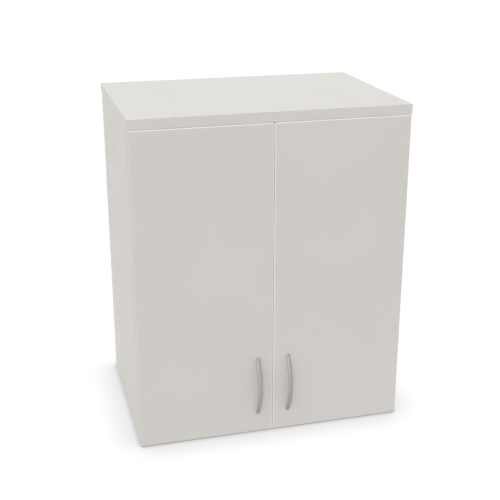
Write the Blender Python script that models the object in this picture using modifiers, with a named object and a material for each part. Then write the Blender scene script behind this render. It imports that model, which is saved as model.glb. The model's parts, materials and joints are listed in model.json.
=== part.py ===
"""Two-door wall cabinet, 600 mm wide: a melamine carcass whose top panel lies over the sides and the doors,
full overlay doors on concealed cup hinges, bow handles, one adjustable shelf, and two cabinet hangers in the
upper rear corners. Every piece is an object of its own, named as a joiner or a fitter would name it.

Metres, +Z up, the front towards -Y. The origin lies on the floor plane, under the middle of the carcass.
"""

import math

import bmesh
import bpy
from mathutils import Matrix
from mathutils.geometry import convex_hull_2d

# Overall size of the carcass
WIDTH = 0.600
DEPTH = 0.420
HEIGHT = 0.728

# Boards
TOP_THICKNESS = 0.022
SIDE_THICKNESS = 0.019
BOTTOM_THICKNESS = 0.019
SHELF_THICKNESS = 0.019
DOOR_THICKNESS = 0.019
BACK_THICKNESS = 0.008
BOARD_EDGE_RADIUS = 0.0007
TOP_OVERHANG = 0.0010
TOP_FRONT_SETBACK = 0.0015
SEAT_GAP = 0.0003

# Gaps round the doors
DOOR_GAP = 0.0014
DOOR_TOP_GAP = 0.0005
DOOR_BOTTOM_REVEAL = 0.0010
DOOR_SIDE_REVEAL = 0.0004
DOOR_MIDDLE_GAP = 0.0008
DOOR_EDGE_RADIUS = 0.0020

# Back panel in its grooves, set in from the rear for the wall rail
BACK_INSET = 0.018
GROOVE_DEPTH = 0.008
HOOK_NOTCH_WIDTH = 0.026
HOOK_NOTCH_HEIGHT = 0.062

# Drilled rows in the sides
ROW_SETBACK = 0.037
HOLE_PITCH = 0.032
HOLE_RADIUS = 0.0025
HOLE_DEPTH = 0.012
SHELF_HOLES_EACH_WAY = 4

# Shelf and its supports
SHELF_FRONT_SETBACK = 0.012
SHELF_END_CLEARANCE = 0.0010
SUPPORT_PIN_CLEARANCE = 0.0003
SUPPORT_PIN_LENGTH = 0.008
SUPPORT_PLATE_THICKNESS = 0.0012
SUPPORT_TONGUE_THICKNESS = 0.0016
SUPPORT_WIDTH = 0.012
SUPPORT_DROP = 0.007
SUPPORT_REACH = 0.011

# Connecting fittings at the corners: cams and bolts
CAM_RADIUS = 0.0075
CAM_LENGTH = 0.0122
CAM_DISTANCE = 0.034
CAM_CLEARANCE = 0.0003
CAM_RIM = 0.0006
CROSS_SLOT_LENGTH = 0.0070
CROSS_SLOT_WIDTH = 0.0018
CROSS_SLOT_DEPTH = 0.0030
BOLT_THREAD_RADIUS = 0.0024
BOLT_THREAD_LENGTH = 0.0105
BOLT_TIP_SHARES = (0.66, 0.50)
BOLT_COLLAR_RADIUS = 0.0034
BOLT_COLLAR_LENGTH = 0.0020
BOLT_SHANK_RADIUS = 0.0026
BOLT_NECK_RADIUS = 0.0017
BOLT_HEAD_RADIUS = 0.0027
BOLT_HEAD_LENGTH = 0.0030
BOLT_BORE_RADIUS = 0.0040
FITTING_FRONT_SETBACK = 0.060
FITTING_REAR_SETBACK = 0.095

# Concealed hinge. Pivots are (inwards from the door's outer edge, behind the door's inner face)
HINGE_END_DISTANCE = 0.095
ARM_OUTER_PIVOT = (0.034718, 0.015951)
ARM_INNER_PIVOT = (0.034569, -0.008800)
CUP_OUTER_PIVOT = (0.010092, -0.006064)
CUP_INNER_PIVOT = (0.015817, -0.008200)
PIN_RADIUS = 0.0010
PIN_CLEARANCE = 0.0002
CUP_RADIUS = 0.0175
CUP_WALL = 0.0008
CUP_DEPTH = 0.0138
CUP_EDGE_DISTANCE = 0.0040
CUP_BORE_CLEARANCE = 0.0003
FLANGE_THICKNESS = 0.0008
FLANGE_RADIUS = 0.0189
FLANGE_SCREW_SPACING = 0.048
FLANGE_SCREW_OFFSET = 0.0060
FLANGE_SCREW_RADIUS = 0.0021
FLANGE_EAR_RADIUS = 0.0062
CUP_NOTCH_HALF_WIDTH = 0.0049
CUP_NOTCH_REACH = 0.0066
CUP_NOTCH_DROP = 0.0016
CUP_EAR_THICKNESS = 0.0010
CUP_EAR_MARGIN = 0.0018

# Links of the hinge, layered from the middle outwards along the pins
INNER_LINK_HALF_WIDTH = 0.0028
OUTER_LINK_INSIDE = 0.0034
OUTER_LINK_OUTSIDE = 0.0044
EAR_INSIDE = 0.0050
ARM_INSIDE = 0.0050
ARM_WALL = 0.0010
OUTER_LINK_BULGE = 0.0080
OUTER_LINK_WAIST = 0.0010
OUTER_LINK_EYE = 0.0020
OUTER_LINK_WEB = 0.0009
OUTER_LINK_WEB_LIP = 0.0001
OUTER_LINK_WEB_SHARES = (0.30, 0.62)
INNER_LINK_WAIST = 0.0012
INNER_LINK_EYE = 0.0021
OPEN_PIVOT_TRAVEL = (0.00115, 0.00265)
OPEN_PIVOT_SHIFT = (0.00037, -0.00126)
OPEN_PIVOT_WALL = 0.0007

# Hinge arm and its mounting plate
ARM_LENGTH = 0.052
ARM_NOSE_RADIUS = 0.0020
ARM_CROWN = 0.0034
ARM_WEB = 0.0012
ARM_SKIRT_START = 0.0150
ARM_SLOT_RADIUS = 0.0022
ARM_SLOT_LENGTH = 0.0090
ARM_SLOT_SHARES = (0.38, 0.76)
PLATE_THICKNESS = 0.0018
PLATE_WING_HALF = 0.0210
PLATE_WING_RADIUS = 0.0060
PLATE_HALF_WIDTH = 0.0085
PLATE_FRONT_HALF_WIDTH = 0.0075
PLATE_RAIL_HALF_WIDTH = 0.0046
PLATE_RAIL_HEIGHT = 0.0085
PLATE_REAR_REACH = 0.0250
PLATE_FRONT_REACH = 0.0110

# Bow handle
HANDLE_CENTRE_X = 0.0345
HANDLE_CENTRE_Z = 0.115
HANDLE_SCREW_SPACING = 0.128
HANDLE_END_REACH = 0.005
HANDLE_PROJECTION = 0.0260
HANDLE_WIDTH = 0.0102
HANDLE_THICKNESS = 0.0048
HANDLE_END_SHARE = 0.66
HANDLE_SCREW_RADIUS = 0.0021
HANDLE_THREAD_RADIUS = 0.0016
HANDLE_THREAD_DEPTH = 0.0036
HANDLE_FOOT_RADIUS = 0.0023
HANDLE_FOOT_HEIGHT = 0.0038
HANDLE_STATIONS = 11
HANDLE_SECTION_POINTS = 20

# Door bumpers
BUMPER_RADIUS = 0.0040
BUMPER_FROM_EDGE = 0.016
BUMPER_HEIGHT_ABOVE_DOOR_END = 0.008
BUMPER_PROFILE_SHARES = ((0, 1), (0.50, 0.88), (0.88, 0.50), (1, 0), (0, 0))

# Cabinet hanger
HANGER_DEPTH = 0.046
HANGER_HEIGHT = 0.058
HANGER_REACH = 0.0125
HANGER_STEEL = 0.0015
HANGER_TOP_DISTANCE = 0.006
COVER_WALL = 0.0012
COVER_CLEARANCE = 0.0010
COVER_EDGE_RADIUS = 0.0012
COVER_HOLE_RADIUS = 0.0030
COVER_HOLE_SHARES = (0.30, 0.62)
HOOK_THICKNESS = 0.0025
HOOK_BAR_HEIGHT = 0.013
HOOK_BAR_LENGTH = 0.034
HOOK_SLOT_WIDTH = 0.0050
HOOK_NOSE_THICKNESS = 0.0032
HOOK_NOSE_DROP = 0.0080
HOOK_WALL_CLEARANCE = 0.0030

# Cuts and roundness
CUT_OVERRUN = 0.0020
JOIN_OVERLAP = 0.0004
SAME_PLACE = 0.000002
HOLE_SIDES = 8
PIN_SIDES = 10
CAM_SIDES = 14
CUP_SIDES = 24
ARC_POINTS = 5
CORNER_POINTS = 4
BOW_BEND_POINTS = 7
BEVEL_STEPS = 2
SMOOTH_ANGLE = math.radians(35)

# Places worked out from the sizes above
FRONT_Y = -DEPTH / 2
REAR_Y = DEPTH / 2
TOP_FRONT_Y = FRONT_Y + TOP_FRONT_SETBACK
TOP_LOW_Z = HEIGHT - TOP_THICKNESS
SIDE_TOP_Z = TOP_LOW_Z - SEAT_GAP
SIDE_OUTER_X = WIDTH / 2 - TOP_OVERHANG
SIDE_INNER_X = SIDE_OUTER_X - SIDE_THICKNESS
DOOR_REAR_Y = FRONT_Y + DOOR_THICKNESS
CARCASS_FRONT_Y = DOOR_REAR_Y + DOOR_GAP
DOOR_OUTER_X = SIDE_OUTER_X - DOOR_SIDE_REVEAL
DOOR_INNER_X = DOOR_MIDDLE_GAP / 2
DOOR_TOP_Z = TOP_LOW_Z - DOOR_TOP_GAP
DOOR_LOW_Z = DOOR_BOTTOM_REVEAL
HANDLE_LENGTH = HANDLE_SCREW_SPACING + 2 * HANDLE_END_REACH
BACK_REAR_Y = REAR_Y - BACK_INSET
BACK_FRONT_Y = BACK_REAR_Y - BACK_THICKNESS
FRONT_ROW_Y = CARCASS_FRONT_Y + ROW_SETBACK
REAR_ROW_Y = BACK_FRONT_Y - ROW_SETBACK
ROW_MIDDLE_Z = (TOP_LOW_Z + BOTTOM_THICKNESS) / 2
FITTING_ROW_YS = (CARCASS_FRONT_Y + FITTING_FRONT_SETBACK, BACK_FRONT_Y - FITTING_REAR_SETBACK)
HINGE_ZS = {"upper": DOOR_TOP_Z - HINGE_END_DISTANCE, "lower": DOOR_LOW_Z + HINGE_END_DISTANCE}
SIDE_SIGNS = {"left": -1, "right": 1}
CUP_CENTRE = CUP_EDGE_DISTANCE + CUP_RADIUS
SIDE_FACE_IN = DOOR_OUTER_X - SIDE_INNER_X
ROW_BACK = DOOR_GAP + ROW_SETBACK
ARM_OUTSIDE = ARM_INSIDE + ARM_WALL


def clear_scene():
    for item in list(bpy.data.objects):
        bpy.data.objects.remove(item, do_unlink=True)


def new_collection(name, helper=False):
    collection = bpy.data.collections.new(name)
    bpy.context.scene.collection.children.link(collection)
    collection.hide_render = helper
    return collection


def new_material(name, colour, roughness, metallic=0.0):
    material = bpy.data.materials.new(name)
    material.use_nodes = True
    shader = material.node_tree.nodes["Principled BSDF"]
    shader.inputs["Base Color"].default_value = (*colour, 1.0)
    shader.inputs["Roughness"].default_value = roughness
    shader.inputs["Metallic"].default_value = metallic
    material.diffuse_color = (*colour, 1.0)
    return material


clear_scene()
PARTS = new_collection("wall_cabinet")
CUTTERS = new_collection("wall_cabinet_cutters", helper=True)
MATERIALS = {
    "melamine": new_material("pale_melamine", (0.610, 0.590, 0.560), 0.55),
    "top": new_material("pale_melamine_top", (0.630, 0.610, 0.580), 0.50),
    "back": new_material("pale_back_board", (0.640, 0.625, 0.600), 0.65),
    "handle": new_material("satin_nickel", (0.560, 0.550, 0.530), 0.32, 1.0),
    "nickel": new_material("nickel_plated_steel", (0.620, 0.610, 0.600), 0.28, 1.0),
    "zinc": new_material("zinc_die_cast", (0.500, 0.500, 0.490), 0.45, 1.0),
    "plastic": new_material("white_plastic", (0.750, 0.745, 0.730), 0.40),
    "silicone": new_material("clear_silicone", (0.820, 0.820, 0.800), 0.35),
}


def add_object(name, mesh, material=None, parent=None, location=(0, 0, 0), turned=False):
    """A part in the cabinet's collection. A turned one faces the other way round its own Y axis."""
    item = bpy.data.objects.new(name, mesh)
    PARTS.objects.link(item)
    item.parent = parent
    item.location = location
    item.rotation_euler = (0, math.pi if turned else 0, 0)
    if material:
        item.material_slots or item.data.materials.append(MATERIALS[material])
    return item


def add_empty(name, location, turned=False):
    item = bpy.data.objects.new(name, None)
    PARTS.objects.link(item)
    item.location = location
    item.rotation_euler = (0, math.pi if turned else 0, 0)
    return item


def add_helper(name, mesh):
    """A cutter or an operand of a Boolean: left out of renders and drawn as wire."""
    item = bpy.data.objects.new(name, mesh)
    CUTTERS.objects.link(item)
    item.hide_render = True
    item.display_type = "WIRE"
    return item


def combine(item, helper, operation):
    modifier = item.modifiers.new(operation.lower() + "_" + helper.name, "BOOLEAN")
    modifier.operation = operation
    modifier.solver = "EXACT"
    modifier.object = helper


def baked_mesh(item):
    """The object's mesh after its modifiers, so that several objects can share it."""
    bpy.context.view_layer.update()
    graph = bpy.context.evaluated_depsgraph_get()
    mesh = bpy.data.meshes.new_from_object(item.evaluated_get(graph))
    mesh.name = item.name
    bpy.data.objects.remove(item, do_unlink=True)
    shape = bmesh.new()
    shape.from_mesh(mesh)
    bmesh.ops.remove_doubles(shape, verts=shape.verts, dist=SAME_PLACE)
    shape.to_mesh(mesh)
    shape.free()
    return mesh


def finish_mesh(shape, name, smooth_angle=None):
    bmesh.ops.remove_doubles(shape, verts=shape.verts, dist=SAME_PLACE)
    bmesh.ops.recalc_face_normals(shape, faces=shape.faces)
    mesh = bpy.data.meshes.new(name)
    shape.to_mesh(mesh)
    shape.free()
    if smooth_angle:
        mesh.shade_smooth()
        mesh.set_sharp_from_angle(angle=smooth_angle)
    return mesh


def box_shape(low, high):
    shape = bmesh.new()
    bmesh.ops.create_cube(shape, size=1)
    for vertex in shape.verts:
        for axis in range(3):
            middle = (low[axis] + high[axis]) / 2
            vertex.co[axis] = middle + vertex.co[axis] * (high[axis] - low[axis])
    return shape


def box_mesh(name, low, high):
    return finish_mesh(box_shape(low, high), name)


def cylinder_shape(radius, start, end, axis, sides, centre=(0, 0)):
    """A cylinder along the given axis. Its centre is given in the two other axes, in X, Y, Z order."""
    shape = bmesh.new()
    bmesh.ops.create_cone(
        shape, cap_ends=True, segments=sides, radius1=radius, radius2=radius, depth=end - start
    )
    turn = {
        "X": Matrix.Rotation(math.pi / 2, 4, "Y"),
        "Y": Matrix.Rotation(math.pi / 2, 4, "X"),
        "Z": Matrix.Identity(4),
    }[axis]
    middle = (start + end) / 2
    place = {
        "X": (middle, centre[0], centre[1]),
        "Y": (centre[0], middle, centre[1]),
        "Z": (centre[0], centre[1], middle),
    }[axis]
    bmesh.ops.transform(shape, matrix=Matrix.Translation(place) @ turn, verts=shape.verts)
    return shape


def cylinder_mesh(name, *args, **kwargs):
    return finish_mesh(cylinder_shape(*args, **kwargs), name)


def merged_mesh(name, shapes):
    """Several separate closed shapes as one mesh, for one cutter."""
    whole = bmesh.new()
    for shape in shapes:
        piece = bpy.data.meshes.new("piece")
        bmesh.ops.recalc_face_normals(shape, faces=shape.faces)
        shape.to_mesh(piece)
        shape.free()
        whole.from_mesh(piece)
        bpy.data.meshes.remove(piece)
    mesh = bpy.data.meshes.new(name)
    whole.to_mesh(mesh)
    whole.free()
    return mesh


def arc(centre, radius, start_degrees, end_degrees, count=ARC_POINTS):
    points = []
    for step in range(count):
        angle = math.radians(start_degrees + (end_degrees - start_degrees) * step / (count - 1))
        points.append((centre[0] + radius * math.cos(angle), centre[1] + radius * math.sin(angle)))
    return points


def circle(centre, radius, sides=PIN_SIDES):
    return arc(centre, radius, 0, 360 - 360 / sides, sides)


def without_repeats(outline):
    """The outline without any point that lies on the one before it."""
    kept = []
    for place, before in zip(outline, outline[-1:] + outline[:-1]):
        if math.dist(place, before) > SAME_PLACE:
            kept.append(place)
    return kept


def outline_mesh(name, outlines, low, high, along="Z"):
    """A filled flat outline, with any further outlines as holes in it, from low to high along an axis.

    Along Z an outline's points are (x, y); along Y they are (x, z); along X they are (y, z).
    """
    curve = bpy.data.curves.new(name, "CURVE")
    curve.dimensions = "2D"
    curve.fill_mode = "BOTH"
    curve.extrude = (high - low) / 2
    for outline in map(without_repeats, outlines):
        spline = curve.splines.new("POLY")
        spline.points.add(len(outline) - 1)
        for point, place in zip(spline.points, outline):
            point.co = (place[0], place[1], 0, 1)
        spline.use_cyclic_u = True
    item = add_helper(name, curve)
    mesh = baked_mesh(item)
    shape = bmesh.new()
    shape.from_mesh(mesh)
    lift = Matrix.Translation((0, 0, (low + high) / 2))
    turn = {
        "Z": Matrix.Identity(4),
        "Y": Matrix(((1, 0, 0, 0), (0, 0, 1, 0), (0, 1, 0, 0), (0, 0, 0, 1))),
        "X": Matrix(((0, 0, 1, 0), (1, 0, 0, 0), (0, 1, 0, 0), (0, 0, 0, 1))),
    }[along]
    bmesh.ops.transform(shape, matrix=turn @ lift, verts=shape.verts)
    return finish_mesh(shape, name)


def turned_mesh(name, profile, sides):
    """A profile of (radius, height) points, turned about Z. It runs down the outer side."""
    mesh = bpy.data.meshes.new(name)
    points = [(radius, 0, height) for radius, height in profile]
    edges = [(i, i + 1) for i in range(len(points) - 1)]
    mesh.from_pydata(points, edges, [])
    item = add_helper(name, mesh)
    screw = item.modifiers.new("turn", "SCREW")
    screw.axis = "Z"
    screw.steps = sides
    screw.render_steps = sides
    screw.use_merge_vertices = True
    screw.merge_threshold = 0.00001
    turned = baked_mesh(item)
    shape = bmesh.new()
    shape.from_mesh(turned)
    return finish_mesh(shape, name, SMOOTH_ANGLE)


def add_board(name, low, high, material, edge_radius=BOARD_EDGE_RADIUS):
    """A flat board with its origin at its middle and its edges lightly rounded."""
    middle = [(a + b) / 2 for a, b in zip(low, high)]
    near = [a - m for a, m in zip(low, middle)]
    far = [b - m for b, m in zip(high, middle)]
    board = add_object(name, box_mesh(name, near, far), material, location=middle)
    if edge_radius:
        round_edges(board, edge_radius)
    return board


def round_edges(item, radius):
    bevel = item.modifiers.new("edge", "BEVEL")
    bevel.width = radius
    bevel.segments = BEVEL_STEPS


def cut(item, name, shapes):
    """Cuts shapes given in the cabinet's own coordinates from an object."""
    combine(item, add_helper(name, merged_mesh(name, shapes)), "DIFFERENCE")


def shelf_row_heights():
    steps = range(-SHELF_HOLES_EACH_WAY, SHELF_HOLES_EACH_WAY + 1)
    return [ROW_MIDDLE_Z + step * HOLE_PITCH for step in steps]


def plate_screw_heights():
    return [z + step * HOLE_PITCH / 2 for z in HINGE_ZS.values() for step in (-1, 1)]


def side_span(sign, start, end):
    """The X range of something that lies from start to end away from the cabinet's middle plane."""
    return sorted((sign * start, sign * end))


def make_side(side):
    sign = SIDE_SIGNS[side]
    near, far = side_span(sign, SIDE_INNER_X, SIDE_OUTER_X)
    panel = add_board(
        side + "_side_panel", (near, CARCASS_FRONT_Y, 0), (far, REAR_Y, SIDE_TOP_Z), "melamine"
    )
    holes = []
    start, end = side_span(sign, SIDE_INNER_X - CUT_OVERRUN, SIDE_INNER_X + HOLE_DEPTH)
    places = [(FRONT_ROW_Y, z) for z in shelf_row_heights() + plate_screw_heights()]
    places += [(REAR_ROW_Y, z) for z in shelf_row_heights()]
    for place in places:
        holes.append(cylinder_shape(HOLE_RADIUS, start, end, "X", HOLE_SIDES, place))
    thread = BOLT_THREAD_RADIUS + CAM_CLEARANCE
    for y in FITTING_ROW_YS:
        place = (y, BOTTOM_THICKNESS / 2)
        holes.append(cylinder_shape(thread, start, end, "X", HOLE_SIDES, place))
        start_cam, end_cam = side_span(
            sign, SIDE_INNER_X - CUT_OVERRUN, SIDE_INNER_X + CAM_LENGTH + CAM_CLEARANCE
        )
        bore = CAM_RADIUS + CAM_CLEARANCE
        place = (y, TOP_LOW_Z - CAM_DISTANCE)
        holes.append(cylinder_shape(bore, start_cam, end_cam, "X", CAM_SIDES, place))
    cut(panel, side + "_side_holes", holes)
    groove_start, groove_end = side_span(
        sign, SIDE_INNER_X - CUT_OVERRUN, SIDE_INNER_X + GROOVE_DEPTH
    )
    groove = box_shape(
        (groove_start, BACK_FRONT_Y - SEAT_GAP, -CUT_OVERRUN),
        (groove_end, BACK_REAR_Y + SEAT_GAP, SIDE_TOP_Z + CUT_OVERRUN),
    )
    cut(panel, side + "_side_groove", [groove])
    middle_x = sign * (SIDE_INNER_X + SIDE_THICKNESS / 2)
    bolt_bores = [
        cylinder_shape(
            BOLT_BORE_RADIUS,
            TOP_LOW_Z - CAM_DISTANCE,
            SIDE_TOP_Z + CUT_OVERRUN,
            "Z",
            HOLE_SIDES,
            (middle_x, y),
        )
        for y in FITTING_ROW_YS
    ]
    cut(panel, side + "_side_bolt_bores", bolt_bores)
    return panel


def make_top():
    top = add_board(
        "top_panel", (-WIDTH / 2, TOP_FRONT_Y, TOP_LOW_Z), (WIDTH / 2, REAR_Y, HEIGHT), "top"
    )
    cuts = [
        box_shape(
            (-SIDE_INNER_X, BACK_FRONT_Y - SEAT_GAP, TOP_LOW_Z - CUT_OVERRUN),
            (SIDE_INNER_X, BACK_REAR_Y + SEAT_GAP, TOP_LOW_Z + GROOVE_DEPTH),
        )
    ]
    thread = BOLT_THREAD_RADIUS + CAM_CLEARANCE
    for sign in SIDE_SIGNS.values():
        for y in FITTING_ROW_YS:
            place = (sign * (SIDE_INNER_X + SIDE_THICKNESS / 2), y)
            cuts.append(
                cylinder_shape(
                    thread, TOP_LOW_Z - CUT_OVERRUN, TOP_LOW_Z + HOLE_DEPTH, "Z", HOLE_SIDES, place
                )
            )
    cut(top, "top_cuts", cuts)
    return top


def make_bottom():
    end_x = SIDE_INNER_X - SEAT_GAP
    bottom = add_board(
        "bottom_panel",
        (-end_x, CARCASS_FRONT_Y, 0),
        (end_x, REAR_Y, BOTTOM_THICKNESS),
        "melamine",
    )
    cuts = [
        box_shape(
            (-end_x - CUT_OVERRUN, BACK_FRONT_Y - SEAT_GAP, BOTTOM_THICKNESS - GROOVE_DEPTH),
            (end_x + CUT_OVERRUN, BACK_REAR_Y + SEAT_GAP, BOTTOM_THICKNESS + CUT_OVERRUN),
        )
    ]
    bolt_bores = []
    for sign in SIDE_SIGNS.values():
        cam_x = sign * (SIDE_INNER_X - CAM_DISTANCE)
        for y in FITTING_ROW_YS:
            cuts.append(
                cylinder_shape(
                    CAM_RADIUS + CAM_CLEARANCE,
                    -CUT_OVERRUN,
                    CAM_LENGTH + CAM_CLEARANCE,
                    "Z",
                    CAM_SIDES,
                    (cam_x, y),
                )
            )
            start, end = side_span(sign, SIDE_INNER_X - CAM_DISTANCE, end_x + CUT_OVERRUN)
            place = (y, BOTTOM_THICKNESS / 2)
            bolt_bores.append(
                cylinder_shape(BOLT_BORE_RADIUS, start, end, "X", HOLE_SIDES, place)
            )
    cut(bottom, "bottom_cuts", cuts)
    cut(bottom, "bottom_bolt_bores", bolt_bores)
    return bottom


def make_back():
    """The thin back panel, held in the grooves, with a notch for each hanger's hook."""
    end_x = SIDE_INNER_X + GROOVE_DEPTH - SEAT_GAP
    low_z = BOTTOM_THICKNESS - GROOVE_DEPTH + SEAT_GAP
    high_z = TOP_LOW_Z + GROOVE_DEPTH - SEAT_GAP
    step_x = SIDE_INNER_X - SEAT_GAP
    back = add_board(
        "back_panel", (-end_x, BACK_FRONT_Y, low_z), (end_x, BACK_REAR_Y, high_z), "back", 0
    )
    corners = []
    for sign in SIDE_SIGNS.values():
        start, end = side_span(sign, step_x, end_x + CUT_OVERRUN)
        corners.append(
            box_shape(
                (start, BACK_FRONT_Y - CUT_OVERRUN, SIDE_TOP_Z),
                (end, BACK_REAR_Y + CUT_OVERRUN, high_z + CUT_OVERRUN),
            )
        )
    cut(back, "back_corners", corners)
    notches = []
    for sign in SIDE_SIGNS.values():
        start, end = side_span(sign, SIDE_INNER_X - HOOK_NOTCH_WIDTH, end_x + CUT_OVERRUN)
        notches.append(
            box_shape(
                (start, BACK_FRONT_Y - CUT_OVERRUN, TOP_LOW_Z - HOOK_NOTCH_HEIGHT),
                (end, BACK_REAR_Y + CUT_OVERRUN, high_z + CUT_OVERRUN),
            )
        )
    cut(back, "hook_notches", notches)
    return back


def support_pin_height():
    """The row hole that carries the shelf: the middle one of the row."""
    return ROW_MIDDLE_Z


def support_tongue_top():
    return support_pin_height() + SUPPORT_DROP


def make_shelf():
    low_z = support_tongue_top() + SEAT_GAP
    end_x = SIDE_INNER_X - SHELF_END_CLEARANCE
    return add_board(
        "shelf",
        (-end_x, CARCASS_FRONT_Y + SHELF_FRONT_SETBACK, low_z),
        (end_x, BACK_FRONT_Y - SEAT_GAP, low_z + SHELF_THICKNESS),
        "melamine",
    )


def support_mesh():
    """A shelf support: pin towards +X in its hole, plate against the side, tongue under the shelf."""
    pin_radius = HOLE_RADIUS - SUPPORT_PIN_CLEARANCE
    plate_back = -SEAT_GAP
    plate_front = plate_back - SUPPORT_PLATE_THICKNESS
    body = outline_mesh(
        "support_plate",
        [
            [
                (plate_back, -SUPPORT_DROP),
                (plate_back, SUPPORT_DROP),
                (-SUPPORT_REACH, SUPPORT_DROP),
                (-SUPPORT_REACH, SUPPORT_DROP - SUPPORT_TONGUE_THICKNESS),
                (plate_front - SUPPORT_TONGUE_THICKNESS, SUPPORT_DROP - SUPPORT_TONGUE_THICKNESS),
                (plate_front, SUPPORT_DROP - 2 * SUPPORT_TONGUE_THICKNESS),
                (plate_front, -SUPPORT_DROP),
            ]
        ],
        -SUPPORT_WIDTH / 2,
        SUPPORT_WIDTH / 2,
        along="Y",
    )
    item = add_helper("shelf_support", body)
    pin = cylinder_mesh(
        "support_pin",
        pin_radius,
        plate_front + JOIN_OVERLAP,
        SUPPORT_PIN_LENGTH,
        "X",
        HOLE_SIDES,
    )
    combine(item, add_helper("support_pin", pin), "UNION")
    return baked_mesh(item)


def make_supports():
    mesh = support_mesh()
    for side, sign in SIDE_SIGNS.items():
        for place, y in (("front", FRONT_ROW_Y), ("rear", REAR_ROW_Y)):
            item = add_object(
                f"{side}_{place}_shelf_support",
                mesh,
                "nickel",
                location=(sign * SIDE_INNER_X, y, support_pin_height()),
            )
            item.rotation_euler = (0, 0, 0 if sign > 0 else math.pi)


def cam_mesh():
    """A cam with its face at z = 0, the body below, and its mouth towards +Y."""
    profile = [
        (0, 0),
        (CAM_RADIUS - CAM_RIM, 0),
        (CAM_RADIUS, -CAM_RIM),
        (CAM_RADIUS, -CAM_LENGTH),
        (0, -CAM_LENGTH),
    ]
    item = add_helper("cam", turned_mesh("cam", profile, CAM_SIDES))
    low = -CAM_LENGTH - CUT_OVERRUN
    head_half = BOLT_HEAD_RADIUS + CAM_CLEARANCE
    chamber_half = BOLT_HEAD_LENGTH / 2 + CAM_CLEARANCE
    chamber = box_mesh(
        "cam_chamber",
        (-head_half, -chamber_half, low),
        (head_half, chamber_half, head_half - BOTTOM_THICKNESS / 2),
    )
    combine(item, add_helper("cam_chamber", chamber), "DIFFERENCE")
    neck_half = BOLT_NECK_RADIUS + CAM_CLEARANCE
    mouth = box_mesh(
        "cam_mouth",
        (-neck_half, 0, low),
        (neck_half, CAM_RADIUS + CUT_OVERRUN, neck_half - BOTTOM_THICKNESS / 2),
    )
    combine(item, add_helper("cam_mouth", mouth), "DIFFERENCE")
    for number, (half_x, half_y) in enumerate(
        (
            (CROSS_SLOT_LENGTH / 2, CROSS_SLOT_WIDTH / 2),
            (CROSS_SLOT_WIDTH / 2, CROSS_SLOT_LENGTH / 2),
        )
    ):
        slot = box_mesh(
            f"cross_slot_{number}", (-half_x, -half_y, -CROSS_SLOT_DEPTH), (half_x, half_y, CUT_OVERRUN)
        )
        combine(item, add_helper(f"cross_slot_{number}", slot), "DIFFERENCE")
    return baked_mesh(item)


def bolt_mesh():
    """A connecting bolt along Z: the joint face at z = 0, the thread above it, the head down in the cam."""
    head_top = -CAM_DISTANCE + BOLT_HEAD_LENGTH / 2
    head_end = head_top - BOLT_HEAD_LENGTH
    neck_top = -CAM_DISTANCE + CAM_RADIUS + CAM_CLEARANCE
    collar_top = -SEAT_GAP * 2
    collar_end = collar_top - BOLT_COLLAR_LENGTH
    tip_width, tip_length = BOLT_TIP_SHARES
    profile = [
        (0, BOLT_THREAD_LENGTH),
        (BOLT_THREAD_RADIUS * tip_width, BOLT_THREAD_LENGTH),
        (BOLT_THREAD_RADIUS, BOLT_THREAD_LENGTH - BOLT_THREAD_RADIUS * tip_length),
        (BOLT_THREAD_RADIUS, collar_top),
        (BOLT_COLLAR_RADIUS, collar_top),
        (BOLT_COLLAR_RADIUS, collar_end),
        (BOLT_SHANK_RADIUS, collar_end),
        (BOLT_SHANK_RADIUS, neck_top),
        (BOLT_NECK_RADIUS, neck_top),
        (BOLT_NECK_RADIUS, head_top),
        (BOLT_HEAD_RADIUS, head_top),
        (BOLT_HEAD_RADIUS, head_end),
        (0, head_end),
    ]
    return turned_mesh("connecting_bolt", profile, HOLE_SIDES)


def make_corner_fittings():
    """Cams and bolts: upright bolts join the sides to the top, level ones the bottom to the sides."""
    cam = cam_mesh()
    bolt = bolt_mesh()
    for side, sign in SIDE_SIGNS.items():
        for place, y in zip(("front", "rear"), FITTING_ROW_YS):
            upper = add_object(
                f"{side}_upper_{place}_cam",
                cam,
                "zinc",
                location=(sign * SIDE_INNER_X, y, TOP_LOW_Z - CAM_DISTANCE),
            )
            upper.rotation_euler = (math.pi / 2, 0, -sign * math.pi / 2)
            add_object(
                f"{side}_upper_{place}_bolt",
                bolt,
                "nickel",
                location=(sign * (SIDE_INNER_X + SIDE_THICKNESS / 2), y, TOP_LOW_Z),
            )
            lower = add_object(
                f"{side}_lower_{place}_cam",
                cam,
                "zinc",
                location=(sign * (SIDE_INNER_X - CAM_DISTANCE), y, 0),
            )
            lower.rotation_euler = (math.pi, 0, sign * math.pi / 2)
            level = add_object(
                f"{side}_lower_{place}_bolt",
                bolt,
                "nickel",
                location=(sign * SIDE_INNER_X, y, BOTTOM_THICKNESS / 2),
            )
            level.rotation_euler = (0, sign * math.pi / 2, 0)


def door_axis(sign):
    """The door joint's axis, through the cup's outer pivot: (x, y)."""
    return (sign * (DOOR_OUTER_X - CUP_OUTER_PIVOT[0]), DOOR_REAR_Y + CUP_OUTER_PIVOT[1])


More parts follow.
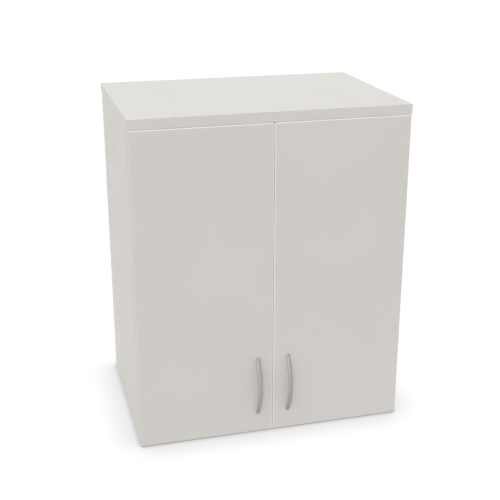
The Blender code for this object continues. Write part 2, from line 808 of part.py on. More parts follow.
def make_door(side, axis_empty):
    sign = SIDE_SIGNS[side]
    axis_x, axis_y, axis_z = axis_empty.location
    near, far = side_span(sign, DOOR_INNER_X, DOOR_OUTER_X)
    low = (near - axis_x, FRONT_Y - axis_y, DOOR_LOW_Z - axis_z)
    high = (far - axis_x, DOOR_REAR_Y - axis_y, DOOR_TOP_Z - axis_z)
    door = add_object(side + "_door", box_mesh(side + "_door", low, high), "melamine", axis_empty)
    round_edges(door, DOOR_EDGE_RADIUS)
    bores = []
    bore_floor = DOOR_REAR_Y - CUP_DEPTH - CUP_BORE_CLEARANCE
    for z in HINGE_ZS.values():
        bores.append(
            cylinder_shape(
                CUP_RADIUS + CUP_BORE_CLEARANCE,
                bore_floor,
                DOOR_REAR_Y + CUT_OVERRUN,
                "Y",
                CUP_SIDES,
                (sign * (DOOR_OUTER_X - CUP_CENTRE), z),
            )
        )
    for z in handle_screw_heights():
        bores.append(
            cylinder_shape(
                HANDLE_SCREW_RADIUS,
                FRONT_Y - CUT_OVERRUN,
                DOOR_REAR_Y + CUT_OVERRUN,
                "Y",
                HOLE_SIDES,
                (sign * HANDLE_CENTRE_X, z),
            )
        )
    cut(door, side + "_door_bores", bores)
    return door


def handle_screw_heights():
    return [HANDLE_CENTRE_Z + step * HANDLE_SCREW_SPACING / 2 for step in (-1, 1)]


def oval_section(width, thickness):
    """An ellipse round the origin, as points."""
    points = []
    for step in range(HANDLE_SECTION_POINTS):
        angle = 2 * math.pi * step / HANDLE_SECTION_POINTS
        points.append((width / 2 * math.cos(angle), thickness / 2 * math.sin(angle)))
    return points


def handle_mesh():
    """An oval bar swept along an arc, wide in the middle and slimmer at its feet, which are cut flat."""
    half = HANDLE_LENGTH / 2
    rise = HANDLE_PROJECTION - HANDLE_THICKNESS / 2
    bow_radius = (half * half + rise * rise) / (2 * rise)
    reach = math.asin(half / bow_radius)
    section = bpy.data.curves.new("handle_section", "CURVE")
    section.dimensions = "2D"
    spline = section.splines.new("POLY")
    outline = oval_section(HANDLE_WIDTH, HANDLE_THICKNESS)
    spline.points.add(len(outline) - 1)
    for point, place in zip(spline.points, outline):
        point.co = (place[0], place[1], 0, 1)
    spline.use_cyclic_u = True
    section_item = add_helper("handle_section", section)
    path = bpy.data.curves.new("handle_bow", "CURVE")
    path.dimensions = "3D"
    path.bevel_mode = "OBJECT"
    path.bevel_object = section_item
    path.use_fill_caps = True
    line = path.splines.new("POLY")
    line.points.add(HANDLE_STATIONS - 1)
    for step, point in enumerate(line.points):
        share = 2 * step / (HANDLE_STATIONS - 1) - 1
        angle = share * reach
        depth = bow_radius * math.cos(angle) - (bow_radius - rise)
        point.co = (0, -depth, bow_radius * math.sin(angle), 1)
        point.radius = 1 - (1 - HANDLE_END_SHARE) * share * share
    bow = add_helper("handle_bow", path)
    mesh = baked_mesh(bow)
    bpy.data.objects.remove(section_item, do_unlink=True)
    shape = bmesh.new()
    shape.from_mesh(mesh)
    handle = add_helper("handle", finish_mesh(shape, "handle", SMOOTH_ANGLE))
    flat = box_mesh(
        "handle_flat",
        (-HANDLE_WIDTH, -SEAT_GAP, -HANDLE_LENGTH),
        (HANDLE_WIDTH, HANDLE_PROJECTION, HANDLE_LENGTH),
    )
    combine(handle, add_helper("handle_flat", flat), "DIFFERENCE")
    ends = (-HANDLE_SCREW_SPACING / 2, HANDLE_SCREW_SPACING / 2)
    feet = [
        cylinder_shape(
            HANDLE_FOOT_RADIUS, -HANDLE_FOOT_HEIGHT, -SEAT_GAP, "Y", CAM_SIDES, (0, z)
        )
        for z in ends
    ]
    combine(handle, add_helper("handle_feet", merged_mesh("handle_feet", feet)), "UNION")
    threads = [
        cylinder_shape(
            HANDLE_THREAD_RADIUS, -HANDLE_THREAD_DEPTH, CUT_OVERRUN, "Y", HOLE_SIDES, (0, z)
        )
        for z in ends
    ]
    combine(handle, add_helper("handle_threads", merged_mesh("handle_threads", threads)), "DIFFERENCE")
    return baked_mesh(handle)


def bumper_mesh():
    """A small dome whose flat foot is on the door, along +Y."""
    height = DOOR_GAP - 2 * SEAT_GAP
    profile = [(BUMPER_RADIUS * wide, height * high) for wide, high in BUMPER_PROFILE_SHARES]
    mesh = turned_mesh("door_bumper", profile, PIN_SIDES)
    mesh.transform(Matrix.Rotation(-math.pi / 2, 4, "X"))
    return mesh


def link_outline(start, end, bulge, waist, eye):
    """A flat bar with a round eye at each end, bowed to its right by the bulge."""
    run = (end[0] - start[0], end[1] - start[1])
    length = math.hypot(*run)
    right = (run[1] / length, -run[0] / length)
    line = []
    for step in range(BOW_BEND_POINTS):
        share = step / (BOW_BEND_POINTS - 1)
        lift = bulge * 4 * share * (1 - share)
        line.append(
            (
                start[0] + run[0] * share + right[0] * lift,
                start[1] + run[1] * share + right[1] * lift,
            )
        )
    headings = []
    for before, after in zip(line[:-1], line[1:]):
        headings.append(math.atan2(after[1] - before[1], after[0] - before[0]))
    sides = {1: [], -1: []}
    for step in range(1, BOW_BEND_POINTS - 1):
        heading = (headings[step - 1] + headings[step]) / 2
        for sign in (1, -1):
            sides[sign].append(
                (
                    line[step][0] - sign * waist * math.sin(heading),
                    line[step][1] + sign * waist * math.cos(heading),
                )
            )
    first = math.degrees(headings[0])
    last = math.degrees(headings[-1])
    return (
        sides[1][::-1]
        + arc(start, eye, first + 60, first + 300)
        + sides[-1]
        + arc(end, eye, last - 120, last + 120)
    )


def outer_link_mesh():
    """Two bowed flanges joined by a web on their hollow side, round the origin at the arm's outer pivot."""
    cup_end = (CUP_OUTER_PIVOT[0] - ARM_OUTER_PIVOT[0], CUP_OUTER_PIVOT[1] - ARM_OUTER_PIVOT[1])
    outline = link_outline(cup_end, (0, 0), OUTER_LINK_BULGE, OUTER_LINK_WAIST, OUTER_LINK_EYE)
    holes = [circle(place, PIN_RADIUS + PIN_CLEARANCE) for place in ((0, 0), cup_end)]
    near, far = OUTER_LINK_INSIDE, OUTER_LINK_OUTSIDE
    link = add_helper("outer_link", outline_mesh("outer_link", [outline] + holes, near, far))
    other = outline_mesh("outer_link_flange", [outline] + holes, -far, -near)
    web = web_outline(cup_end, (0, 0), *OUTER_LINK_WEB_SHARES)
    reach = near + JOIN_OVERLAP
    combine(
        link, add_helper("outer_link_web", outline_mesh("outer_link_web", [web], -reach, reach)), "UNION"
    )
    combine(link, add_helper("outer_link_flange", other), "UNION")
    return baked_mesh(link)


def web_outline(start, end, first_share, last_share):
    """The web's section: a strip along the inner edge of the bowed flange."""
    run = (end[0] - start[0], end[1] - start[1])
    length = math.hypot(*run)
    right = (run[1] / length, -run[0] / length)
    strip = {0: [], 1: []}
    steps = BOW_BEND_POINTS - 1
    for step in range(steps + 1):
        share = first_share + (last_share - first_share) * step / steps
        lift = OUTER_LINK_BULGE * 4 * share * (1 - share)
        for layer in (0, 1):
            offset = lift - OUTER_LINK_WAIST + OUTER_LINK_WEB_LIP + layer * OUTER_LINK_WEB
            strip[layer].append(
                (
                    start[0] + run[0] * share + right[0] * offset,
                    start[1] + run[1] * share + right[1] * offset,
                )
            )
    return strip[0] + strip[1][::-1]


def slot_outline(centre, half_x, half_y, radius):
    """A rounded slot, as points."""
    points = []
    for start, (sign_x, sign_y) in enumerate(((1, 1), (-1, 1), (-1, -1), (1, -1))):
        corner = (
            centre[0] + sign_x * max(half_x - radius, 0),
            centre[1] + sign_y * max(half_y - radius, 0),
        )
        points += arc(corner, radius, start * 90, start * 90 + 90, CORNER_POINTS)
    return points


def inner_link_mesh():
    """A solid link round the origin at the arm's inner pivot. Its cup end is a slot, the opened pivot."""
    cup_end = (
        CUP_INNER_PIVOT[0] - ARM_INNER_PIVOT[0] + OPEN_PIVOT_SHIFT[0],
        CUP_INNER_PIVOT[1] - ARM_INNER_PIVOT[1] + OPEN_PIVOT_SHIFT[1],
    )
    half_x = PIN_RADIUS + OPEN_PIVOT_TRAVEL[0] / 2
    half_y = PIN_RADIUS + OPEN_PIVOT_TRAVEL[1] / 2
    bar = link_outline(cup_end, (0, 0), 0, INNER_LINK_WAIST, INNER_LINK_EYE)
    half = INNER_LINK_HALF_WIDTH
    link = add_helper("inner_link", outline_mesh("inner_link", [bar], -half, half))
    wall = OPEN_PIVOT_WALL
    head = slot_outline(cup_end, half_x + wall, half_y + wall, PIN_RADIUS + wall)
    head_mesh = outline_mesh("inner_link_head", [head], -half, half)
    combine(link, add_helper("inner_link_head", head_mesh), "UNION")
    reach = half + CUT_OVERRUN
    slot = slot_outline(cup_end, half_x, half_y, PIN_RADIUS)
    slot_mesh = outline_mesh("inner_link_slot", [slot], -reach, reach)
    combine(link, add_helper("inner_link_slot", slot_mesh), "DIFFERENCE")
    eye = cylinder_mesh("inner_link_eye", PIN_RADIUS + PIN_CLEARANCE, -reach, reach, "Z", PIN_SIDES)
    combine(link, add_helper("inner_link_eye", eye), "DIFFERENCE")
    return baked_mesh(link)


def cup_mesh():
    """The hinge cup with its flange, inner ears and two pins. x inwards, y backwards, z up."""
    flange_high = SEAT_GAP + FLANGE_THICKNESS
    rim = SEAT_GAP + FLANGE_THICKNESS / 2
    inside = CUP_RADIUS - CUP_WALL
    floor = -CUP_DEPTH + CUP_WALL
    profile = [
        (0, floor),
        (inside, floor),
        (inside, rim),
        (CUP_RADIUS, rim),
        (CUP_RADIUS, -CUP_DEPTH),
        (0, -CUP_DEPTH),
    ]
    shell = turned_mesh("hinge_cup", profile, CUP_SIDES)
    shell.transform(Matrix.Translation((CUP_CENTRE, 0, 0)) @ Matrix.Rotation(-math.pi / 2, 4, "X"))
    cup = add_helper("hinge_cup", shell)
    flange = outline_mesh("cup_flange", flange_outlines(), SEAT_GAP, flange_high, along="Y")
    combine(cup, add_helper("cup_flange", flange), "UNION")
    notch = box_mesh(
        "rim_notch",
        (-CUT_OVERRUN, -CUP_NOTCH_DROP, -CUP_NOTCH_HALF_WIDTH),
        (CUP_NOTCH_REACH, flange_high + CUT_OVERRUN, CUP_NOTCH_HALF_WIDTH),
    )
    combine(cup, add_helper("rim_notch", notch), "DIFFERENCE")
    for sign in (-1, 1):
        low, high = sorted((sign * EAR_INSIDE, sign * (EAR_INSIDE + CUP_EAR_THICKNESS)))
        name = f"cup_ear_{sign}"
        mesh = outline_mesh(name, [cup_ear_outline(floor)], low, high)
        combine(cup, add_helper(name, mesh), "UNION")
    for name, pivot in (("cup_outer_pin", CUP_OUTER_PIVOT), ("cup_inner_pin", CUP_INNER_PIVOT)):
        reach = EAR_INSIDE + CUP_EAR_THICKNESS / 2
        pin = cylinder_mesh(name, PIN_RADIUS, -reach, reach, "Z", PIN_SIDES, pivot)
        combine(cup, add_helper(name, pin), "UNION")
    return baked_mesh(cup)


def flange_outlines():
    """The flange drawn tight round the cup and its two screws, with its three holes."""
    middle = (CUP_CENTRE, 0)
    screws = [
        (CUP_CENTRE + FLANGE_SCREW_OFFSET, sign * FLANGE_SCREW_SPACING / 2) for sign in (-1, 1)
    ]
    points = circle(middle, FLANGE_RADIUS, CUP_SIDES)
    for screw in screws:
        points += circle(screw, FLANGE_EAR_RADIUS, CAM_SIDES)
    rim = [points[index] for index in convex_hull_2d(points)]
    holes = [circle(screw, FLANGE_SCREW_RADIUS, HOLE_SIDES) for screw in screws]
    return [rim, circle(middle, CUP_RADIUS - CUP_WALL / 2, CUP_SIDES)] + holes


def cup_ear_outline(floor):
    """The ear stands on the cup's floor and rounds over the two pins."""
    outer, inner = CUP_OUTER_PIVOT, CUP_INNER_PIVOT
    low = floor - CUP_WALL / 2
    return (
        [(outer[0] - CUP_EAR_MARGIN, low), (inner[0] + CUP_EAR_MARGIN, low)]
        + arc(inner, CUP_EAR_MARGIN, 0, 70)
        + arc(outer, CUP_EAR_MARGIN, 70, 180)
    )


def arm_top():
    """How far the arm's back stands in from the door's outer edge."""
    return max(ARM_OUTER_PIVOT[0], ARM_INNER_PIVOT[0]) + ARM_CROWN


def plate_face():
    return SIDE_FACE_IN + SEAT_GAP + PLATE_THICKNESS


def arm_wall_outline():
    """One wall of the arm: a round nose on the inner pivot, a neck past the outer pivot, a deep rear."""
    nose = ARM_NOSE_RADIUS
    inner, outer = ARM_INNER_PIVOT, ARM_OUTER_PIVOT
    rear = outer[1] + ARM_LENGTH
    skirt = plate_face() + SEAT_GAP
    skirt_start = outer[1] + ARM_SKIRT_START
    return (
        arc(inner, nose, 180, 360)
        + [
            (inner[0] + nose, outer[1] - nose * 2),
            (arm_top() - ARM_WEB / 2, outer[1] + nose),
            (arm_top() - ARM_WEB / 2, rear),
            (skirt, rear),
            (skirt, skirt_start + ARM_CROWN),
            (skirt + ARM_CROWN, skirt_start),
            (outer[0] - nose, outer[1] + nose),
        ]
    )


def arm_mesh():
    """The hinge arm: two walls, a web along its back with its two screw slots, and two pins."""
    wall = arm_wall_outline()
    arm = add_helper("hinge_arm", outline_mesh("hinge_arm", [wall], ARM_INSIDE, ARM_OUTSIDE))
    other = outline_mesh("hinge_arm_wall", [wall], -ARM_OUTSIDE, -ARM_INSIDE)
    top = arm_top()
    web_start = ARM_OUTER_PIVOT[1] + ARM_NOSE_RADIUS
    web_end = ARM_OUTER_PIVOT[1] + ARM_LENGTH
    web_outline_points = [
        (web_start, -ARM_OUTSIDE),
        (web_end, -ARM_OUTSIDE),
        (web_end, ARM_OUTSIDE),
        (web_start, ARM_OUTSIDE),
    ]
    slots = []
    for share in ARM_SLOT_SHARES:
        middle = web_start + (web_end - web_start) * share
        slots.append(slot_outline((middle, 0), ARM_SLOT_LENGTH / 2, ARM_SLOT_RADIUS, ARM_SLOT_RADIUS))
    web = outline_mesh("hinge_arm_web", [web_outline_points] + slots, top - ARM_WEB, top, along="X")
    combine(arm, add_helper("hinge_arm_web", web), "UNION")
    combine(arm, add_helper("hinge_arm_wall", other), "UNION")
    for name, pivot in (("arm_outer_pin", ARM_OUTER_PIVOT), ("arm_inner_pin", ARM_INNER_PIVOT)):
        reach = (ARM_INSIDE + ARM_OUTSIDE) / 2
        pin = cylinder_mesh(name, PIN_RADIUS, -reach, reach, "Z", PIN_SIDES, pivot)
        combine(arm, add_helper(name, pin), "UNION")
    return baked_mesh(arm)


def plate_mesh():
    """The mounting plate: a winged base on the side panel and the rail that carries the arm."""
    low = SIDE_FACE_IN + SEAT_GAP
    high = plate_face()
    front = ROW_BACK - PLATE_FRONT_REACH
    rear = ROW_BACK + PLATE_REAR_REACH
    rail = PLATE_RAIL_HALF_WIDTH
    wing = PLATE_WING_RADIUS
    screw = HOLE_PITCH / 2
    tip = max(PLATE_WING_HALF, screw + FLANGE_SCREW_RADIUS + wing / 2) - wing
    base = PLATE_HALF_WIDTH
    slim = PLATE_FRONT_HALF_WIDTH
    outline = (
        [(rear, -base), (rear, base), (ROW_BACK + wing, base)]
        + arc((ROW_BACK, tip), wing, 0, 180)
        + [(ROW_BACK - wing, slim), (front, slim), (front, -slim), (ROW_BACK - wing, -slim)]
        + arc((ROW_BACK, -tip), wing, 180, 360)
        + [(ROW_BACK + wing, -base)]
    )
    holes = [circle((ROW_BACK, sign * screw), FLANGE_SCREW_RADIUS, HOLE_SIDES) for sign in (-1, 1)]
    plate = add_helper(
        "mounting_plate", outline_mesh("mounting_plate", [outline] + holes, low, high, along="X")
    )
    arm_underside = arm_top() - ARM_WEB - SEAT_GAP
    rail_mesh = outline_mesh(
        "plate_rail",
        [
            [
                (high - JOIN_OVERLAP, front + JOIN_OVERLAP),
                (high + PLATE_RAIL_HEIGHT / 2, front + JOIN_OVERLAP),
                (high + PLATE_RAIL_HEIGHT, ROW_BACK),
                (arm_underside, ROW_BACK),
                (arm_underside, rear - wing),
                (high + PLATE_RAIL_HEIGHT / 2, rear - JOIN_OVERLAP),
                (high - JOIN_OVERLAP, rear - JOIN_OVERLAP),
            ]
        ],
        -rail,
        rail,
    )
    combine(plate, add_helper("plate_rail", rail_mesh), "UNION")
    return baked_mesh(plate)


def make_hinges(door_axes):
    """Two hinges a side. Their right-hand copies are the same meshes, turned round the Y axis."""
    meshes = {
        "hinge_cup": cup_mesh(),
        "outer_link": outer_link_mesh(),
        "inner_link": inner_link_mesh(),
        "hinge_arm": arm_mesh(),
        "mounting_plate": plate_mesh(),
    }
    for side, sign in SIDE_SIGNS.items():
        turned = sign > 0
        for level, z in HINGE_ZS.items():
            name = side + "_" + level + "_"
            corner = (sign * DOOR_OUTER_X, DOOR_REAR_Y, z)
            hinge = add_empty(name + "hinge_place", corner, turned)
            for kind in ("hinge_arm", "mounting_plate"):
                add_object(name + kind, meshes[kind], "nickel", hinge)
            add_object(name + "outer_link", meshes["outer_link"], "nickel", hinge, (*ARM_OUTER_PIVOT, 0))
            add_object(name + "inner_link", meshes["inner_link"], "zinc", hinge, (*ARM_INNER_PIVOT, 0))
            axis = door_axes[side]
            offset = [place - origin for place, origin in zip(corner, axis.location)]
            add_object(name + "hinge_cup", meshes["hinge_cup"], "nickel", axis, offset, turned)


def make_doors():
    """Each door with its handle and its bumper, under an empty on the door joint's axis."""
    handle = handle_mesh()
    bumper = bumper_mesh()
    axes = {}
    for side, sign in SIDE_SIGNS.items():
        middle_z = (DOOR_LOW_Z + DOOR_TOP_Z) / 2
        axis = add_empty(side + "_door_axis", (*door_axis(sign), middle_z))
        axes[side] = axis
        make_door(side, axis)
        place = (sign * HANDLE_CENTRE_X, FRONT_Y, HANDLE_CENTRE_Z)
        offset = [a - b for a, b in zip(place, axis.location)]
        add_object(side + "_bow_handle", handle, "handle", axis, offset)
        place = (
            sign * (DOOR_INNER_X + BUMPER_FROM_EDGE),
            DOOR_REAR_Y + SEAT_GAP,
            DOOR_LOW_Z + BUMPER_HEIGHT_ABOVE_DOOR_END,
        )
        offset = [a - b for a, b in zip(place, axis.location)]
        add_object(side + "_door_bumper", bumper, "silicone", axis, offset)
    return axes


def hanger_levels():
    """The hanger housing's lower and upper ends, and the hook bar's upper edge at rest."""
    high = TOP_LOW_Z - HANGER_TOP_DISTANCE
    low = high - HANGER_HEIGHT
    hook_top = (low + high) / 2 + HOOK_BAR_HEIGHT / 2
    return low, high, hook_top


def housing_mesh():
    """A steel channel open towards the cabinet's middle, its back against the side. x points at the side."""
    low, high, _ = hanger_levels()
    middle = (low + high) / 2
    half = (high - low) / 2
    back = -SEAT_GAP
    outline = [
        (back, -half),
        (back, half),
        (-HANGER_REACH, half),
        (-HANGER_REACH, half - HANGER_STEEL),
        (back - HANGER_STEEL, half - HANGER_STEEL),
        (back - HANGER_STEEL, -half + HANGER_STEEL),
        (-HANGER_REACH, -half + HANGER_STEEL),
        (-HANGER_REACH, -half),
    ]
    rear = BACK_FRONT_Y - SEAT_GAP
    mesh = outline_mesh("hanger_housing", [outline], rear - HANGER_DEPTH, rear, along="Y")
    mesh.transform(Matrix.Translation((0, 0, middle)))
    return mesh


def cover_mesh():
    """A cap over the housing: closed at its face, front, top and bottom, open to the side and the rear."""
    low, high, _ = hanger_levels()
    wrap = COVER_CLEARANCE + COVER_WALL
    rear = BACK_FRONT_Y - SEAT_GAP
    front = rear - HANGER_DEPTH - wrap
    face = -HANGER_REACH - wrap
    cover = add_helper(
        "hanger_cover", box_mesh("hanger_cover", (face, front, low - wrap), (-SEAT_GAP, rear, high + wrap))
    )
    round_edges(cover, COVER_EDGE_RADIUS)
    hollow = box_mesh(
        "cover_hollow",
        (face + COVER_WALL, front + COVER_WALL, low - COVER_CLEARANCE),
        (CUT_OVERRUN, rear + CUT_OVERRUN, high + COVER_CLEARANCE),
    )
    combine(cover, add_helper("cover_hollow", hollow), "DIFFERENCE")
    holes = [
        cylinder_shape(
            COVER_HOLE_RADIUS,
            face - CUT_OVERRUN,
            face + COVER_WALL + CUT_OVERRUN,
            "X",
            PIN_SIDES,
            (front + (rear - front) * share, (low + high) / 2),
        )
        for share in COVER_HOLE_SHARES
    ]
    combine(cover, add_helper("cover_holes", merged_mesh("cover_holes", holes)), "DIFFERENCE")
    return baked_mesh(cover)


def hook_mesh():
    """A flat steel hook: its bar runs back through the notch and its nose drops behind the wall rail."""
    _, _, top = hanger_levels()
    tip = REAR_Y - HOOK_WALL_CLEARANCE
    nose_front = tip - HOOK_NOSE_THICKNESS
    slot_front = nose_front - HOOK_SLOT_WIDTH
    front = BACK_FRONT_Y - HOOK_BAR_LENGTH
    bar_low = top - HOOK_BAR_HEIGHT
    throat = top - HOOK_BAR_HEIGHT / 2
    nose_low = throat - HOOK_NOSE_DROP
    corner = HOOK_NOSE_THICKNESS / 2
    outline = (
        [(front, bar_low), (slot_front, bar_low), (slot_front, throat), (nose_front, throat)]
        + [(nose_front, nose_low + corner)]
        + arc((nose_front + corner, nose_low + corner), corner, 180, 360)
        + arc((tip - corner, top - corner), corner, 0, 90, CORNER_POINTS)
        + arc((front + corner, top - corner), corner, 90, 180, CORNER_POINTS)
    )
    steel_face = -SEAT_GAP - HANGER_STEEL - SEAT_GAP
    return outline_mesh("hanger_hook", [outline], steel_face - HOOK_THICKNESS, steel_face, along="X")


def make_hangers():
    """A housing, a hook and a cover in each upper rear corner. The left ones are turned round the Z axis."""
    meshes = {
        "hanger_housing": (housing_mesh(), "nickel"),
        "hanger_cover": (cover_mesh(), "plastic"),
        "hanger_hook": (hook_mesh(), "nickel"),
    }
    for side, sign in SIDE_SIGNS.items():
        for kind, (mesh, material) in meshes.items():
            if sign < 0:
                mesh = mirrored_copy(mesh, side + "_" + kind)
            add_object(f"{side}_{kind}", mesh, material, location=(sign * SIDE_INNER_X, 0, 0))


def mirrored_copy(mesh, name):
    """The left-hand form of a right-hand piece."""
    shape = bmesh.new()
    shape.from_mesh(mesh)
    bmesh.ops.scale(shape, vec=(-1, 1, 1), verts=shape.verts)
    return finish_mesh(shape, name, SMOOTH_ANGLE)


def make_cabinet():
    for side in SIDE_SIGNS:
        make_side(side)
    make_top()
    make_bottom()
    make_back()
    make_shelf()
    make_supports()
    make_corner_fittings()
    door_axes = make_doors()
    make_hinges(door_axes)
    make_hangers()


make_cabinet()
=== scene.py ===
"""Looks of the two-door wall cabinet: its finishes, the small screws, the studio and the camera."""

import json
import math

import bmesh
import bpy
from mathutils import Matrix, Vector


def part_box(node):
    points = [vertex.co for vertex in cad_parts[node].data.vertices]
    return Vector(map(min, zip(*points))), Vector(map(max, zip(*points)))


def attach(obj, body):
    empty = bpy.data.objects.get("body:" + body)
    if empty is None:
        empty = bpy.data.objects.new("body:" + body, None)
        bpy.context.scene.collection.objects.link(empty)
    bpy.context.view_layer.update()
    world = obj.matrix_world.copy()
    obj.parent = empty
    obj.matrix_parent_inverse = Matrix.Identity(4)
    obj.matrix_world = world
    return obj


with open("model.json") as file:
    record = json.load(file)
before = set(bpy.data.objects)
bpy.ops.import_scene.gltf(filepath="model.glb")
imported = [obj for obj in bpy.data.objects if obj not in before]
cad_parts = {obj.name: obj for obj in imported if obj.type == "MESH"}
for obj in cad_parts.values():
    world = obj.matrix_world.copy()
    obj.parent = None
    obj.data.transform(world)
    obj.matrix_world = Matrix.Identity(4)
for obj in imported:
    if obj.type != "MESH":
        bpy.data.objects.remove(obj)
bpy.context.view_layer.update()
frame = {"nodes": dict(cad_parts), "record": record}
NODES = frame["nodes"]

# Camera, solved from the cabinet's corners in a frame 500 pixels square
CAMERA_PLACE = (-0.537, -2.010, 1.116)
CAMERA_YAW = math.radians(-15.06)
CAMERA_PITCH = math.radians(20.0)
FOCAL_PIXELS = 945.0
FRAME_PIXELS = 500.0
SENSOR_WIDTH = 36.0

# Colours are linear, a noise is (cells per metre, detail, roughness) and a bump is (strength, depth)
NOISE_WINDOW = (0.3, 0.7)

# Board: colours
FACE_COLOUR = (0.645, 0.624, 0.593)
SIDE_COLOUR = (0.641, 0.615, 0.575)
# Painted sheen: the top board is tinted cooler than the doors, standing in for the light it reflects from
# above
SHEEN_TINTED_TOP_COLOUR = (0.634, 0.624, 0.588)
EDGING_COLOUR = (0.645, 0.624, 0.593)
# Painted highlight: the doors' edging is painted much lighter along their rounded gap edges, standing in
# for light in the gaps
PAINTED_HIGHLIGHT_COLOUR = (0.850, 0.835, 0.806)
CHIP_COLOURS = ((0.30, 0.19, 0.10), (0.52, 0.38, 0.23), (0.68, 0.54, 0.36))
FIBRE_COLOURS = ((0.36, 0.25, 0.15), (0.46, 0.34, 0.22))

# Board: widths and depths of its zones
EDGING_THICKNESS = 0.0009
SEAM_WIDTH = 0.00012
WEAR_WIDTH = 0.0007
SKIN_DEPTH = 0.0003
SURFACE_DEPTH = 0.0006
CORE_DEPTH = 0.0012
# How far the painted highlight reaches from a door's gap edge, and the share of that within which it is at
# full strength
PAINTED_HIGHLIGHT_WIDTH = 0.0020
PAINTED_HIGHLIGHT_FULL_SHARE = 0.7

# Board: tones and chips
CLOUD_NOISE = (5.0, 3.0)
CLOUD_TONES = (0.985, 1.015)
SPECK_NOISE = (2600.0, 1.0)
SPECK_WINDOW = (0.35, 0.65)
SPECK_TONES = (0.988, 1.012)
SEAM_TONE = 0.86
CHIP_SCALE = 520.0
CHIP_WINDOW = (0.55, 0.75)

# Board: gloss
SMEAR_NOISE = (14.0, 4.0)
SMEAR_ROUGHNESS = (0.44, 0.52)
RAW_ROUGHNESS_RISE = 0.38
RUB_NOISE = (60.0, 4.0)
RUB_WINDOW = (0.45, 0.62)
WORN_ROUGHNESS_DROP = 0.10
BOARD_SPECULAR = 0.38
BOARD_TRANSLUCENCY = 0.6
TRANSLUCENT_DEPTH = 0.0018
EVEN_RADIUS = (1.0, 1.0, 1.0)

# Board: relief, its heights in units of the bump's depth
BOARD_BUMP = (0.35, 0.00006)
PEARL_NOISE = (1300.0, 2.0, 0.55)
PEEL_NOISE = (260.0, 2.0)
PEEL_HEIGHT = 0.8
SEAM_SINK = 2.2
CHIP_HEIGHT = 5.0

# What the handles' metal and the nickel plate share
METAL_CLOUD_NOISE = (45.0, 3.0)
METAL_CLOUD_TONES = (0.96, 1.03)
METAL_CLOUD_WINDOW = (0.35, 0.75)
METAL_CLOUD_ROUGHNESS = (-0.02, 0.04)
METAL_GRAIN_TONES = (0.97, 1.03)
METAL_GRAIN_ROUGHNESS = (-0.05, 0.06)
METAL_BUMP = (0.10, 0.00005)

# Handles
HANDLE_COLOUR = (0.388, 0.396, 0.380)
HANDLE_ROUGHNESS = 0.50
HANDLE_METAL_SHARE = 0.65
HANDLE_ANISOTROPY = 0.85
HANDLE_STREAK_NOISE = (1.0, 3.0, 0.6)
HANDLE_STREAKS = (2400.0, 2400.0, 60.0)

# Nickel plate
NICKEL_COLOUR = (0.620, 0.612, 0.595)
NICKEL_ROUGHNESS = 0.27
NICKEL_NOISE = (900.0, 3.0, 0.6)

# Die-cast zinc
ZINC_COLOUR = (0.480, 0.485, 0.480)
SAND_NOISE = (1500.0, 3.0, 0.6)
SAND_TONES = (0.94, 1.05)
STAIN_NOISE = (90.0, 4.0)
STAIN_TONES = (0.90, 1.06)
STAIN_ROUGHNESS = (0.36, 0.55)
CAST_BUMP = (0.35, 0.00008)

# Moulded plastic
PLASTIC_COLOUR = (0.760, 0.755, 0.735)
PLASTIC_NOISE = (1900.0, 2.0, 0.6)
PLASTIC_ROUGHNESS = (0.36, 0.50)
PLASTIC_CLOUD_NOISE = (30.0, 2.0)
PLASTIC_CLOUD_TONES = (0.98, 1.015)
PLASTIC_BUMP = (0.22, 0.00006)

# Clear silicone
SILICONE_COLOUR = (0.900, 0.905, 0.900)
SILICONE_CLEARNESS = 0.75
SILICONE_IOR = 1.41
DUST_NOISE = (700.0, 3.0)
DUST_TONES = (0.97, 1.0)
DUST_ROUGHNESS = (0.12, 0.28)
DUST_BUMP = (0.10, 0.00005)

# Shading of the carried solids
JOIN_DISTANCE = 0.00001
SHARP_ANGLE = math.radians(35)

# Screws: head radius, head height, shank radius, shank length
HANDLE_SCREW = (0.0042, 0.0022, 0.0019, 0.0210)
PLATE_SCREW = (0.0037, 0.0013, 0.0019, 0.0100)
CUP_SCREW = (0.0036, 0.0012, 0.0017, 0.0110)
ARM_SCREW = (0.0031, 0.0016, 0.0018, 0.0060)
HANGER_SCREW = (0.0027, 0.0014, 0.0020, 0.0055)

# Outlines of the heads from the underside up to the flat top, as shares of the head's radius and height
PAN_HEAD_SHARES = ((0.93, 0.0), (1.0, 0.12), (1.0, 0.42), (0.93, 0.74), (0.78, 0.94), (0.66, 1.0))
SUNK_HEAD_SHARES = ((0.50, -1.0), (0.97, -0.08), (1.0, 0.06), (0.94, 0.20), (0.66, 0.34))

# The screws' threads and cross recesses
SCREW_STEPS = 32
SCREW_SHARP_ANGLE = math.radians(38)
THREAD_PITCH = 0.0011
THREAD_RINGS = 2
THREAD_ROOT_SHARE = 0.80
THREAD_CLEARANCE_SHARE = 0.25
TIP_SHARE = 0.55
RECESS_LENGTH_SHARE = 0.62
RECESS_WIDTH_SHARE = 0.20
RECESS_DEPTH_SHARE = 0.75
RECESS_TAPER_SHARE = 0.62
WELD_DISTANCE = 0.000001

# Places of the screws
HANDLE_SCREW_SPACING = 0.128
PLATE_SCREW_SPACING = 0.032
HOLE_ROW_SETBACK = 0.037
PLATE_THICKNESS = 0.0018
CUP_SCREW_SPACING = 0.048
CUP_SCREW_SETBACK = 0.0249
ARM_SCREW_SHARES = (0.606, 0.848)
HANGER_SCREW_SHARES = (0.30, 0.62)
HANGER_SCREW_SINK = 0.0010

# How far the screws are turned, in radians, so that their recesses don't line up
HANDLE_SCREW_TURN = 0.4
PLATE_SCREW_TURN = 0.7
CUP_SCREW_TURN = 0.3
ARM_SCREW_TURNS = (0.606, 0.848)
HANGER_SCREW_TURNS = (0.60, 1.24)

